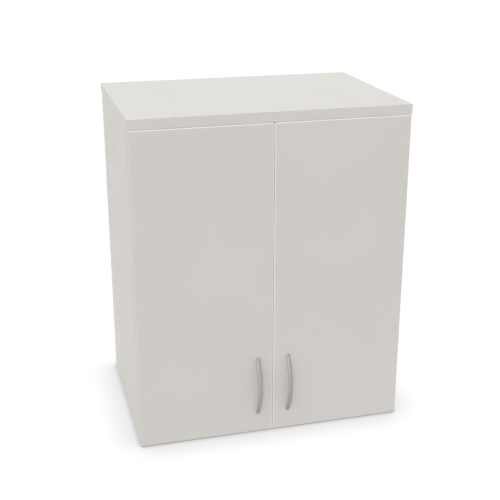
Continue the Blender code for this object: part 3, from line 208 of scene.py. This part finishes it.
# Studio
WHITE = (1.0, 1.0, 1.0)
WORLD_STRENGTH = 0.72
WORLD_SHOWN = 1.0
FLOOR_LIGHT = 0.77
FLOOR_SHOWN = 0.945
FLOOR_PAINT = (0.08, 0.08, 0.08)
FLOOR_HALF_SIZE = 40.0
FLOOR_LEVEL = -0.0003
SHADOW_REACHES = (0.092, 0.012)
SHADOW_SHARES = (0.50, 0.38)
KEY_STRENGTH = 1.52
KEY_FROM = (-0.46, -0.74, 1.25)
KEY_SOFTNESS = math.radians(50)


class Graph:
    """A small helper that adds to a node tree."""

    def __init__(self, tree):
        self.tree = tree

    def node(self, kind, **settings):
        made = self.tree.nodes.new(kind)
        for name, value in settings.items():
            setattr(made, name, value)
        return made

    def put(self, value, socket):
        """A number, a tuple or an output, set on or linked to a socket."""
        if isinstance(value, bpy.types.NodeSocket):
            self.tree.links.new(value, socket)
        elif socket.type == "RGBA":
            socket.default_value = (*value, 1.0)
        else:
            socket.default_value = value

    def math(self, operation, first, second=0.0):
        made = self.node("ShaderNodeMath", operation=operation)
        self.put(first, made.inputs[0])
        self.put(second, made.inputs[1])
        return made.outputs[0]


class Finish(Graph):
    """The node tree of one material, round its principled shader."""

    def __init__(self, name):
        self.material = bpy.data.materials.new(name)
        self.material.use_nodes = True
        super().__init__(self.material.node_tree)
        self.shader = self.tree.nodes["Principled BSDF"]
        self.place = self.node("ShaderNodeTexCoord").outputs["Object"]

    def coordinates(self):
        split = self.node("ShaderNodeSeparateXYZ")
        self.put(self.place, split.inputs[0])
        return split.outputs

    def stretched(self, scales):
        made = self.node("ShaderNodeVectorMath", operation="MULTIPLY")
        self.put(self.place, made.inputs[0])
        self.put(scales, made.inputs[1])
        return made.outputs[0]

    def noise(self, scale, detail, roughness=0.5, place=None):
        made = self.node("ShaderNodeTexNoise")
        self.put(place or self.place, made.inputs["Vector"])
        self.put(scale, made.inputs["Scale"])
        self.put(detail, made.inputs["Detail"])
        self.put(roughness, made.inputs["Roughness"])
        return made.outputs["Fac"]

    def span(self, value, window, reach=(0.0, 1.0)):
        """A value's window mapped to the reach and held at its ends."""
        made = self.node("ShaderNodeMapRange", clamp=True)
        self.put(value, made.inputs["Value"])
        for number, socket in zip((*window, *reach), list(made.inputs)[1:5]):
            self.put(number, socket)
        return made.outputs[0]

    def spread(self, noise, reach, window=NOISE_WINDOW):
        """The window of a noise, spread over the reach."""
        return self.span(noise, window, reach)

    def mix(self, factor, first, second):
        """A colour between two others."""
        made = self.node("ShaderNodeMix", data_type="RGBA")
        self.put(factor, made.inputs["Factor"])
        self.put(first, made.inputs[6])
        self.put(second, made.inputs[7])
        return made.outputs[2]

    def shade(self, colour, tone):
        """The colour made lighter or darker by a tone."""
        gray = self.node("ShaderNodeCombineColor")
        for socket in gray.inputs:
            self.put(tone, socket)
        made = self.node("ShaderNodeMix", data_type="RGBA", blend_type="MULTIPLY")
        self.put(1.0, made.inputs["Factor"])
        self.put(colour, made.inputs[6])
        self.put(gray.outputs[0], made.inputs[7])
        return made.outputs[2]

    def bump(self, height, strength, depth):
        made = self.node("ShaderNodeBump")
        self.put(strength, made.inputs["Strength"])
        self.put(depth, made.inputs["Distance"])
        self.put(height, made.inputs["Height"])
        return made.outputs[0]

    def finish(self, **inputs):
        """Sets the shader's sockets, whose names have underscores for spaces, and gives the material."""
        for name, value in inputs.items():
            self.put(value, self.shader.inputs[name.replace("_", " ")])
        return self.material


def wall_distances(graph, low, high):
    """How deep a point lies inside a box, along each axis."""
    depths = []
    for place, near, far in zip(graph.coordinates(), low, high):
        away = graph.math("ABSOLUTE", graph.math("SUBTRACT", place, (near + far) / 2))
        depths.append(graph.math("SUBTRACT", (far - near) / 2, away))
    return depths


def side_distance(graph, box, side):
    """How far a point lies from one side of a box, given as (axis, sign)."""
    axis, sign = side
    wall = box[1 if sign > 0 else 0][axis]
    return graph.math("ABSOLUTE", graph.math("SUBTRACT", graph.coordinates()[axis], wall))


def board_zones(graph, box, raw_sides, painted_highlight_sides):
    """Where a board is raw, edged, seamed, painted lighter as a highlight along its gap edges, and worn,
    each from 0 to 1.
    """
    low, high = box
    depths = wall_distances(graph, low, high)
    sizes = [far - near for near, far in zip(low, high)]
    face_depth = depths.pop(sizes.index(min(sizes)))
    border = graph.math("MINIMUM", *depths)
    corner = graph.math("MAXIMUM", border, face_depth)
    raw = graph.span(graph.math("MINIMUM", border, face_depth), (SURFACE_DEPTH, CORE_DEPTH))
    for side in raw_sides:
        cut = graph.span(side_distance(graph, box, side), (SURFACE_DEPTH, SKIN_DEPTH))
        raw = graph.math("MAXIMUM", raw, cut)
    # Painted highlight: a mask along the given sides, where the edging is painted lighter to stand in for
    # light in the gaps
    painted_highlight = 0.0
    for side in painted_highlight_sides:
        away = side_distance(graph, box, side)
        edge = graph.span(away, (PAINTED_HIGHLIGHT_WIDTH, PAINTED_HIGHLIGHT_WIDTH * PAINTED_HIGHLIGHT_FULL_SHARE))
        painted_highlight = graph.math("MAXIMUM", painted_highlight, edge)
    off_seam = graph.math("ABSOLUTE", graph.math("SUBTRACT", border, EDGING_THICKNESS))
    seam = graph.span(off_seam, (SEAM_WIDTH, 0.0))
    on_face = graph.span(face_depth, (SURFACE_DEPTH, SKIN_DEPTH))
    near_corner = graph.span(corner, (WEAR_WIDTH, 0.0))
    rubbed = graph.span(graph.noise(*RUB_NOISE), RUB_WINDOW)
    return {
        "raw": raw,
        "edging": graph.span(border, (EDGING_THICKNESS, EDGING_THICKNESS - SEAM_WIDTH)),
        "seam": graph.math("MULTIPLY", seam, on_face),
        "painted_highlight": painted_highlight,
        "worn": graph.math("MULTIPLY", near_corner, rubbed),
    }


def board_colour(graph, zones, colour, raw_colours):
    cloud = graph.spread(graph.noise(*CLOUD_NOISE), CLOUD_TONES)
    speck = graph.spread(graph.noise(*SPECK_NOISE), SPECK_TONES, SPECK_WINDOW)
    seam = graph.span(zones["seam"], (0.0, 1.0), (1.0, SEAM_TONE))
    tone = graph.math("MULTIPLY", graph.math("MULTIPLY", cloud, speck), seam)
    painted = graph.mix(zones["edging"], graph.shade(colour, tone), graph.shade(EDGING_COLOUR, tone))
    # Painted highlight: lighter edging along the doors' gap edges
    painted = graph.mix(zones["painted_highlight"], painted, graph.shade(PAINTED_HIGHLIGHT_COLOUR, tone))
    return graph.mix(zones["raw"], painted, chip_colour(graph, raw_colours))


def board_gloss(graph, zones):
    gloss = graph.spread(graph.noise(*SMEAR_NOISE), SMEAR_ROUGHNESS)
    gloss = graph.math("ADD", gloss, graph.math("MULTIPLY", zones["raw"], RAW_ROUGHNESS_RISE))
    return graph.math("SUBTRACT", gloss, graph.math("MULTIPLY", zones["worn"], WORN_ROUGHNESS_DROP))


def board_relief(graph, zones):
    """A fine pearl on a soft orange peel, the seam of the edging, and open chips where it is raw."""
    height = graph.noise(*PEARL_NOISE)
    peel = graph.math("MULTIPLY", graph.noise(*PEEL_NOISE), PEEL_HEIGHT)
    seam = graph.math("MULTIPLY", zones["seam"], SEAM_SINK)
    chips = graph.math("MULTIPLY", zones["raw"], chip_height(graph))
    height = graph.math("ADD", height, peel)
    height = graph.math("SUBTRACT", height, seam)
    height = graph.math("ADD", height, chips)
    return graph.bump(height, *BOARD_BUMP)


def board_material(node, colour, raw_sides=(), raw_colours=CHIP_COLOURS, painted_highlight_sides=()):
    """Melamine faces, edging round the border, and raw chipboard where the board is cut or bored.

    Sides are (axis, sign). raw_sides carry no edging. The sides given last carry a much lighter edging,
    a painted highlight that stands in for light in the gaps, which reaches round the rounded corners onto
    the faces.
    """
    graph = Finish(node)
    zones = board_zones(graph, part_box(node), raw_sides, painted_highlight_sides)
    return graph.finish(
        Base_Color=board_colour(graph, zones, colour, raw_colours),
        Roughness=board_gloss(graph, zones),
        Normal=board_relief(graph, zones),
        Specular_IOR_Level=BOARD_SPECULAR,
        Subsurface_Weight=BOARD_TRANSLUCENCY,
        Subsurface_Radius=EVEN_RADIUS,
        Subsurface_Scale=TRANSLUCENT_DEPTH,
    )


def chip_cells(graph):
    cells = graph.node("ShaderNodeTexVoronoi")
    graph.put(graph.place, cells.inputs["Vector"])
    graph.put(CHIP_SCALE, cells.inputs["Scale"])
    return cells.outputs


def chip_colour(graph, colours):
    """Pressed chips: flat cells of two or three wood tones."""
    split = graph.node("ShaderNodeSeparateColor")
    graph.put(chip_cells(graph)["Color"], split.inputs[0])
    colour = graph.mix(split.outputs[0], colours[0], colours[1])
    if len(colours) > 2:
        colour = graph.mix(graph.span(split.outputs[1], CHIP_WINDOW), colour, colours[2])
    return colour


def chip_height(graph):
    return graph.math("MULTIPLY", chip_cells(graph)["Distance"], CHIP_HEIGHT)


def handle_material(name):
    """Satin metal of an upright bar, whose highlight and fine streaks run along the bar."""
    graph = Finish(name)
    upright = graph.node("ShaderNodeCombineXYZ")
    graph.put(1.0, upright.inputs["Z"])
    streaks = graph.noise(*HANDLE_STREAK_NOISE, place=graph.stretched(HANDLE_STREAKS))
    graph.finish(Anisotropic=HANDLE_ANISOTROPY, Tangent=upright.outputs[0])
    return metal_finish(graph, streaks, HANDLE_COLOUR, HANDLE_ROUGHNESS, HANDLE_METAL_SHARE)


def plated_material(name):
    """Nickel plate with a faint cloudiness."""
    graph = Finish(name)
    return metal_finish(graph, graph.noise(*NICKEL_NOISE), NICKEL_COLOUR, NICKEL_ROUGHNESS, 1.0)


def metal_finish(graph, grain, colour, roughness, metal_share):
    """Metal whose tone, gloss and relief follow a fine grain, with a faint cloud over it."""
    cloud = graph.noise(*METAL_CLOUD_NOISE)
    tone = graph.math(
        "MULTIPLY",
        graph.spread(grain, METAL_GRAIN_TONES),
        graph.spread(cloud, METAL_CLOUD_TONES),
    )
    rough = graph.math(
        "ADD",
        graph.spread(grain, [roughness + step for step in METAL_GRAIN_ROUGHNESS]),
        graph.spread(cloud, METAL_CLOUD_ROUGHNESS, METAL_CLOUD_WINDOW),
    )
    return graph.finish(
        Base_Color=graph.shade(colour, tone),
        Roughness=rough,
        Metallic=metal_share,
        Normal=graph.bump(grain, *METAL_BUMP),
    )


def cast_material(name):
    """Die-cast zinc: dull, with a sandy skin."""
    graph = Finish(name)
    sand = graph.noise(*SAND_NOISE)
    stain = graph.noise(*STAIN_NOISE)
    tone = graph.math("MULTIPLY", graph.spread(sand, SAND_TONES), graph.spread(stain, STAIN_TONES))
    return graph.finish(
        Base_Color=graph.shade(ZINC_COLOUR, tone),
        Roughness=graph.spread(stain, STAIN_ROUGHNESS),
        Metallic=1.0,
        Normal=graph.bump(sand, *CAST_BUMP),
    )


def plastic_material(name):
    """Moulded plastic with a fine spark-eroded grain."""
    graph = Finish(name)
    grain = graph.noise(*PLASTIC_NOISE)
    tone = graph.spread(graph.noise(*PLASTIC_CLOUD_NOISE), PLASTIC_CLOUD_TONES)
    return graph.finish(
        Base_Color=graph.shade(PLASTIC_COLOUR, tone),
        Roughness=graph.spread(grain, PLASTIC_ROUGHNESS),
        Normal=graph.bump(grain, *PLASTIC_BUMP),
    )


def silicone_material(name):
    """Clear soft dome that lets the board show through."""
    graph = Finish(name)
    dust = graph.noise(*DUST_NOISE)
    return graph.finish(
        Base_Color=graph.shade(SILICONE_COLOUR, graph.spread(dust, DUST_TONES)),
        Roughness=graph.spread(dust, DUST_ROUGHNESS),
        Normal=graph.bump(dust, *DUST_BUMP),
        IOR=SILICONE_IOR,
        Transmission_Weight=SILICONE_CLEARNESS,
    )


def smoothing_group():
    """Joins a solid's loose triangles and leaves only its steep edges sharp."""
    tree = bpy.data.node_groups.new("smooth_shallow_edges", "GeometryNodeTree")
    for direction in ("INPUT", "OUTPUT"):
        tree.interface.new_socket("Mesh", in_out=direction, socket_type="NodeSocketGeometry")
    graph = Graph(tree)
    start = graph.node("NodeGroupInput")
    join = graph.node("GeometryNodeMergeByDistance")
    graph.put(start.outputs[0], join.inputs["Geometry"])
    graph.put(JOIN_DISTANCE, join.inputs["Distance"])
    angle = graph.node("GeometryNodeInputMeshEdgeAngle")
    steep = graph.node("FunctionNodeCompare", operation="GREATER_THAN")
    graph.put(angle.outputs["Unsigned Angle"], steep.inputs[0])
    graph.put(SHARP_ANGLE, steep.inputs[1])
    normals = graph.node("GeometryNodeSetMeshNormal", mode="SHARPNESS")
    graph.put(join.outputs[0], normals.inputs["Mesh"])
    graph.put(True, normals.inputs["Remove Custom"])
    graph.put(steep.outputs[0], normals.inputs["Edge Sharpness"])
    graph.put(False, normals.inputs["Face Sharpness"])
    end = graph.node("NodeGroupOutput")
    graph.put(normals.outputs[0], end.inputs[0])
    return tree


def smooth_nodes():
    """Shades the round stretches of the carried solids smooth, and keeps their flat faces flat."""
    group = smoothing_group()
    for item in NODES.values():
        item.modifiers.new("smooth_shallow_edges", "NODES").node_group = group
        item.modifiers.new("flat_faces", "WEIGHTED_NORMAL").keep_sharp = True


def dress(node, material):
    """Gives a carried solid its finish."""
    mesh = NODES[node].data
    mesh.materials.clear()
    mesh.materials.append(material)


def side_sign(side):
    return -1 if side == "left" else 1


def dress_boards():
    rear = (1, 1)
    foot = (2, -1)
    head = (2, 1)
    for side in ("left", "right"):
        panel = side + "_side_panel"
        dress(panel, board_material(panel, SIDE_COLOUR, (rear, head)))
        door = side + "_door"
        closing_edge = (0, -side_sign(side))
        # The doors' closing and top edges carry the painted highlight of lighter edging
        dress(door, board_material(door, FACE_COLOUR, painted_highlight_sides=(closing_edge, head)))
    # The top board gets the cooler tint of a painted sheen
    dress("top_panel", board_material("top_panel", SHEEN_TINTED_TOP_COLOUR, (rear,)))
    for board in ("bottom_panel", "shelf"):
        dress(board, board_material(board, FACE_COLOUR, (rear,)))
    round_about = ((0, 1), (0, -1), foot, head)
    dress("back_panel", board_material("back_panel", FACE_COLOUR, round_about, FIBRE_COLOURS))


def dress_fittings():
    """Finishes of the metal and plastic pieces, by the record's material slots."""
    finishes = {
        "handle_metal": handle_material("satin_nickel"),
        "plated_steel": plated_material("nickel_plate"),
        "zinc_casting": cast_material("zinc_casting"),
        "white_plastic": plastic_material("white_plastic"),
        "clear_silicone": silicone_material("clear_silicone"),
    }
    for row in frame["record"]["subparts"]:
        if row["material_slot"] in finishes:
            dress(row["node"], finishes[row["material_slot"]])
    return finishes


def add_object(name, data):
    item = bpy.data.objects.new(name, data)
    bpy.context.scene.collection.objects.link(item)
    return item


def shank_profile(radius, length, top):
    """A threaded shank's outline as (radius, height), from its tip up to the head's underside at top."""
    steps = max(int(length / THREAD_PITCH * THREAD_RINGS), THREAD_RINGS)
    profile = [(radius * TIP_SHARE, -length)]
    for step in range(1, steps):
        width = radius * (THREAD_ROOT_SHARE if step % THREAD_RINGS else 1.0)
        profile.append((width, -length * (1 - step / steps)))
    clear = top - THREAD_PITCH * THREAD_CLEARANCE_SHARE
    return [point for point in profile if point[1] < clear] + [(radius, top)]


def ring(shape, radius, height):
    corners = []
    for step in range(SCREW_STEPS):
        angle = 2 * math.pi * step / SCREW_STEPS
        corners.append(shape.verts.new((radius * math.cos(angle), radius * math.sin(angle), height)))
    return corners


def skin(shape, rings):
    """Faces between rings that follow each other, and over the first and the last."""
    for low, high in zip(rings[:-1], rings[1:]):
        for step in range(SCREW_STEPS):
            after = (step + 1) % SCREW_STEPS
            shape.faces.new((low[step], low[after], high[after], high[step]))
    shape.faces.new(rings[0][::-1])
    shape.faces.new(rings[-1])


def screw_mesh(name, sizes, head_shares, material):
    """A cross-recessed screw along +Z, its seat at z = 0 and its threaded shank below."""
    head_radius, head_height, shank_radius, shank_length = sizes
    head = [(head_radius * wide, head_height * tall) for wide, tall in head_shares]
    profile = shank_profile(shank_radius, shank_length, head[0][1]) + head
    shape = bmesh.new()
    skin(shape, [ring(shape, radius, height) for radius, height in profile])
    bmesh.ops.recalc_face_normals(shape, faces=shape.faces)
    mesh = bpy.data.meshes.new(name)
    shape.to_mesh(mesh)
    shape.free()
    cut_recess(mesh, head_radius, head_height, head[-1][1])
    mesh.shade_smooth()
    mesh.set_sharp_from_angle(angle=SCREW_SHARP_ANGLE)
    mesh.materials.append(material)
    return mesh


def recess_arm(half_x, half_y, top, depth):
    """A bar that narrows downwards, from depth above the head's flat top to depth below it."""
    shape = bmesh.new()
    bmesh.ops.create_cube(shape, size=2)
    for vertex in shape.verts:
        above = vertex.co.z > 0
        taper = 1.0 if above else RECESS_TAPER_SHARE
        vertex.co.x *= half_x * taper
        vertex.co.y *= half_y * taper
        vertex.co.z = top + (depth if above else -depth)
    mesh = bpy.data.meshes.new("recess")
    shape.to_mesh(mesh)
    shape.free()
    return add_object("recess", mesh)


def cut_recess(mesh, head_radius, head_height, top):
    """Sinks a tapered cross into the head."""
    long_half = head_radius * RECESS_LENGTH_SHARE
    slim_half = head_radius * RECESS_WIDTH_SHARE / 2
    depth = head_height * RECESS_DEPTH_SHARE
    body = add_object("recess_body", mesh)
    arms = [
        recess_arm(long_half, slim_half, top, depth),
        recess_arm(slim_half, long_half, top, depth),
    ]
    for arm in arms:
        modifier = body.modifiers.new("recess", "BOOLEAN")
        modifier.operation = "DIFFERENCE"
        modifier.solver = "EXACT"
        modifier.object = arm
    bpy.context.view_layer.update()
    baked = bpy.data.meshes.new_from_object(body.evaluated_get(bpy.context.evaluated_depsgraph_get()))
    shape = bmesh.new()
    shape.from_mesh(baked)
    bmesh.ops.remove_doubles(shape, verts=shape.verts, dist=WELD_DISTANCE)
    shape.to_mesh(mesh)
    shape.free()
    for item in [body, *arms]:
        bpy.data.objects.remove(item, do_unlink=True)
    bpy.data.meshes.remove(baked)


def add_screw(name, mesh, place, direction, turn, body):
    """A screw whose seat is at place and whose head points along direction."""
    item = add_object(name, mesh)
    upright = Vector(direction).to_track_quat("Z", "Y").to_matrix().to_4x4()
    item.matrix_world = Matrix.Translation(place) @ upright @ Matrix.Rotation(turn, 4, "Z")
    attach(item, body)


def handle_screws(steel):
    """Two screws through each door into its handle, with pan heads on the door's inner face."""
    screw = screw_mesh("handle_screw", HANDLE_SCREW, PAN_HEAD_SHARES, steel)
    for side in ("left", "right"):
        low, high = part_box(side + "_bow_handle")
        inner_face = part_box(side + "_door")[1].y
        middle_x = (low.x + high.x) / 2
        middle_z = (low.z + high.z) / 2
        for level, step in (("lower", -1), ("upper", 1)):
            place = (middle_x, inner_face, middle_z + step * HANDLE_SCREW_SPACING / 2)
            turn = step * HANDLE_SCREW_TURN
            name = f"{side}_{level}_handle_screw"
            add_screw(name, screw, place, (0, 1, 0), turn, side + "_door_leaf")


def plate_place(name, sign, height):
    """A place on a mounting plate's wing, over the side's row of holes."""
    low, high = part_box(name + "mounting_plate")
    wall = high.x if sign > 0 else low.x
    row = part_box("bottom_panel")[0].y + HOLE_ROW_SETBACK
    return (wall - sign * PLATE_THICKNESS, row, height)


def cup_place(name, sign, height):
    """A place on a hinge cup's flange, on the door's inner face."""
    low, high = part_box(name + "hinge_cup")
    edge = high.x if sign > 0 else low.x
    return (edge - sign * CUP_SCREW_SETBACK, high.y, height)


def arm_place(name, sign, height, share):
    """A place on a hinge arm's face, at a share of its length."""
    low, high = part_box(name + "hinge_arm")
    face = low.x if sign > 0 else high.x
    return (face, low.y + (high.y - low.y) * share, height)


def hinge_screws(steel):
    """Screws of the mounting plates, of the cups, and the two on each hinge arm."""
    plate_screw = screw_mesh("plate_screw", PLATE_SCREW, SUNK_HEAD_SHARES, steel)
    cup_screw = screw_mesh("cup_screw", CUP_SCREW, SUNK_HEAD_SHARES, steel)
    arm_screw = screw_mesh("arm_screw", ARM_SCREW, PAN_HEAD_SHARES, steel)
    for side in ("left", "right"):
        sign = side_sign(side)
        inwards = (-sign, 0, 0)
        for level in ("upper", "lower"):
            name = f"{side}_{level}_"
            low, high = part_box(name + "mounting_plate")
            middle_z = (low.z + high.z) / 2
            for tag, step in (("low", -1), ("high", 1)):
                place = plate_place(name, sign, middle_z + step * PLATE_SCREW_SPACING / 2)
                turn = step * PLATE_SCREW_TURN
                add_screw(f"{name}plate_screw_{tag}", plate_screw, place, inwards, turn, "carcass")
                place = cup_place(name, sign, middle_z + step * CUP_SCREW_SPACING / 2)
                turn = step * CUP_SCREW_TURN
                add_screw(f"{name}cup_screw_{tag}", cup_screw, place, (0, 1, 0), turn, side + "_door_leaf")
            for tag, share, turn in zip(("front", "rear"), ARM_SCREW_SHARES, ARM_SCREW_TURNS):
                place = arm_place(name, sign, middle_z, share)
                add_screw(f"{name}arm_screw_{tag}", arm_screw, place, inwards, turn, "carcass")


def hanger_screws(steel):
    """The two setting screws behind the holes of each hanger's cover."""
    screw = screw_mesh("hanger_screw", HANGER_SCREW, PAN_HEAD_SHARES, steel)
    for side in ("left", "right"):
        sign = side_sign(side)
        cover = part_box(side + "_hanger_cover")
        low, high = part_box(side + "_hanger_housing")
        face = low.x if sign > 0 else high.x
        middle_z = (low.z + high.z) / 2
        for tag, share, turn in zip(("front", "rear"), HANGER_SCREW_SHARES, HANGER_SCREW_TURNS):
            along = cover[0].y + (cover[1].y - cover[0].y) * share
            place = (face + sign * HANGER_SCREW_SINK, along, middle_z)
            add_screw(f"{side}_hanger_screw_{tag}", screw, place, (-sign, 0, 0), turn, "carcass")


def seen_directly(graph):
    """1 for rays from the camera, and for what metal and glass show of the studio."""
    path = graph.node("ShaderNodeLightPath").outputs
    seen = path["Is Camera Ray"]
    for name in ("Is Glossy Ray", "Is Transmission Ray"):
        seen = graph.math("MAXIMUM", seen, path[name])
    return seen


def plain_emission(graph, strength):
    shader = graph.node("ShaderNodeEmission")
    graph.put(WHITE, shader.inputs["Color"])
    graph.put(strength, shader.inputs["Strength"])
    return shader.outputs[0]


def shown_level(graph):
    """The floor's white, darker in a short soft shadow round the foot of the object."""
    level = 1.0 - sum(SHADOW_SHARES)
    for reach, share in zip(SHADOW_REACHES, SHADOW_SHARES):
        around = graph.node("ShaderNodeAmbientOcclusion")
        graph.put(reach, around.inputs["Distance"])
        openness = graph.math("MULTIPLY", around.outputs["AO"], share)
        level = graph.math("ADD", level, openness)
    return graph.math("MULTIPLY", level, FLOOR_SHOWN)


def floor_material(name):
    """It lights the object evenly, and the camera sees it white with the object's shadow."""
    material = bpy.data.materials.new(name)
    material.use_nodes = True
    graph = Graph(material.node_tree)
    graph.tree.nodes.clear()
    paint = graph.node("ShaderNodeBsdfDiffuse")
    graph.put(FLOOR_PAINT, paint.inputs["Color"])
    shown = graph.node("ShaderNodeAddShader")
    graph.put(paint.outputs[0], shown.inputs[0])
    graph.put(plain_emission(graph, shown_level(graph)), shown.inputs[1])
    chosen = graph.node("ShaderNodeMixShader")
    graph.put(seen_directly(graph), chosen.inputs["Fac"])
    graph.put(plain_emission(graph, FLOOR_LIGHT), chosen.inputs[1])
    graph.put(shown.outputs[0], chosen.inputs[2])
    output = graph.node("ShaderNodeOutputMaterial")
    graph.put(chosen.outputs[0], output.inputs["Surface"])
    return material


def make_floor():
    """A wide pale floor just under the object's foot."""
    mesh = bpy.data.meshes.new("studio_floor")
    shape = bmesh.new()
    bmesh.ops.create_grid(shape, x_segments=1, y_segments=1, size=FLOOR_HALF_SIZE)
    shape.to_mesh(mesh)
    shape.free()
    mesh.materials.append(floor_material("studio_floor"))
    floor = add_object("studio_floor", mesh)
    floor.location.z = FLOOR_LEVEL


def make_world():
    """Even light from all round, which the camera sees as white."""
    world = bpy.data.worlds.new("studio")
    world.use_nodes = True
    bpy.context.scene.world = world
    graph = Graph(world.node_tree)
    level = graph.node("ShaderNodeMix")
    graph.put(seen_directly(graph), level.inputs["Factor"])
    graph.put(WORLD_STRENGTH, level.inputs[2])
    graph.put(WORLD_SHOWN, level.inputs[3])
    background = graph.tree.nodes["Background"]
    graph.put(WHITE, background.inputs["Color"])
    graph.put(level.outputs[0], background.inputs["Strength"])


def make_key():
    """A very soft key light from the upper left."""
    lamp = bpy.data.lights.new("key", "SUN")
    lamp.energy = KEY_STRENGTH
    lamp.angle = KEY_SOFTNESS
    item = add_object("key", lamp)
    item.rotation_euler = Vector(KEY_FROM).to_track_quat("Z", "Y").to_euler()


def make_camera():
    """The photograph's view: the pinhole position, direction and focal length found from the corners."""
    camera = bpy.data.cameras.new("camera")
    camera.sensor_width = SENSOR_WIDTH
    camera.lens = FOCAL_PIXELS / FRAME_PIXELS * SENSOR_WIDTH
    level_share = math.cos(CAMERA_PITCH)
    ahead = Vector(
        (
            -math.sin(CAMERA_YAW) * level_share,
            math.cos(CAMERA_YAW) * level_share,
            -math.sin(CAMERA_PITCH),
        )
    )
    item = add_object("camera", camera)
    item.location = CAMERA_PLACE
    item.rotation_euler = ahead.to_track_quat("-Z", "Y").to_euler()
    bpy.context.scene.camera = item


def write_size():
    """Brings the scene's evaluated state up to date."""
    bpy.context.view_layer.update()


bpy.context.scene.view_settings.view_transform = "Standard"
make_camera()
make_world()
make_key()
make_floor()
dress_boards()
finishes = dress_fittings()
smooth_nodes()
handle_screws(finishes["plated_steel"])
hinge_screws(finishes["plated_steel"])
hanger_screws(finishes["plated_steel"])
write_size()
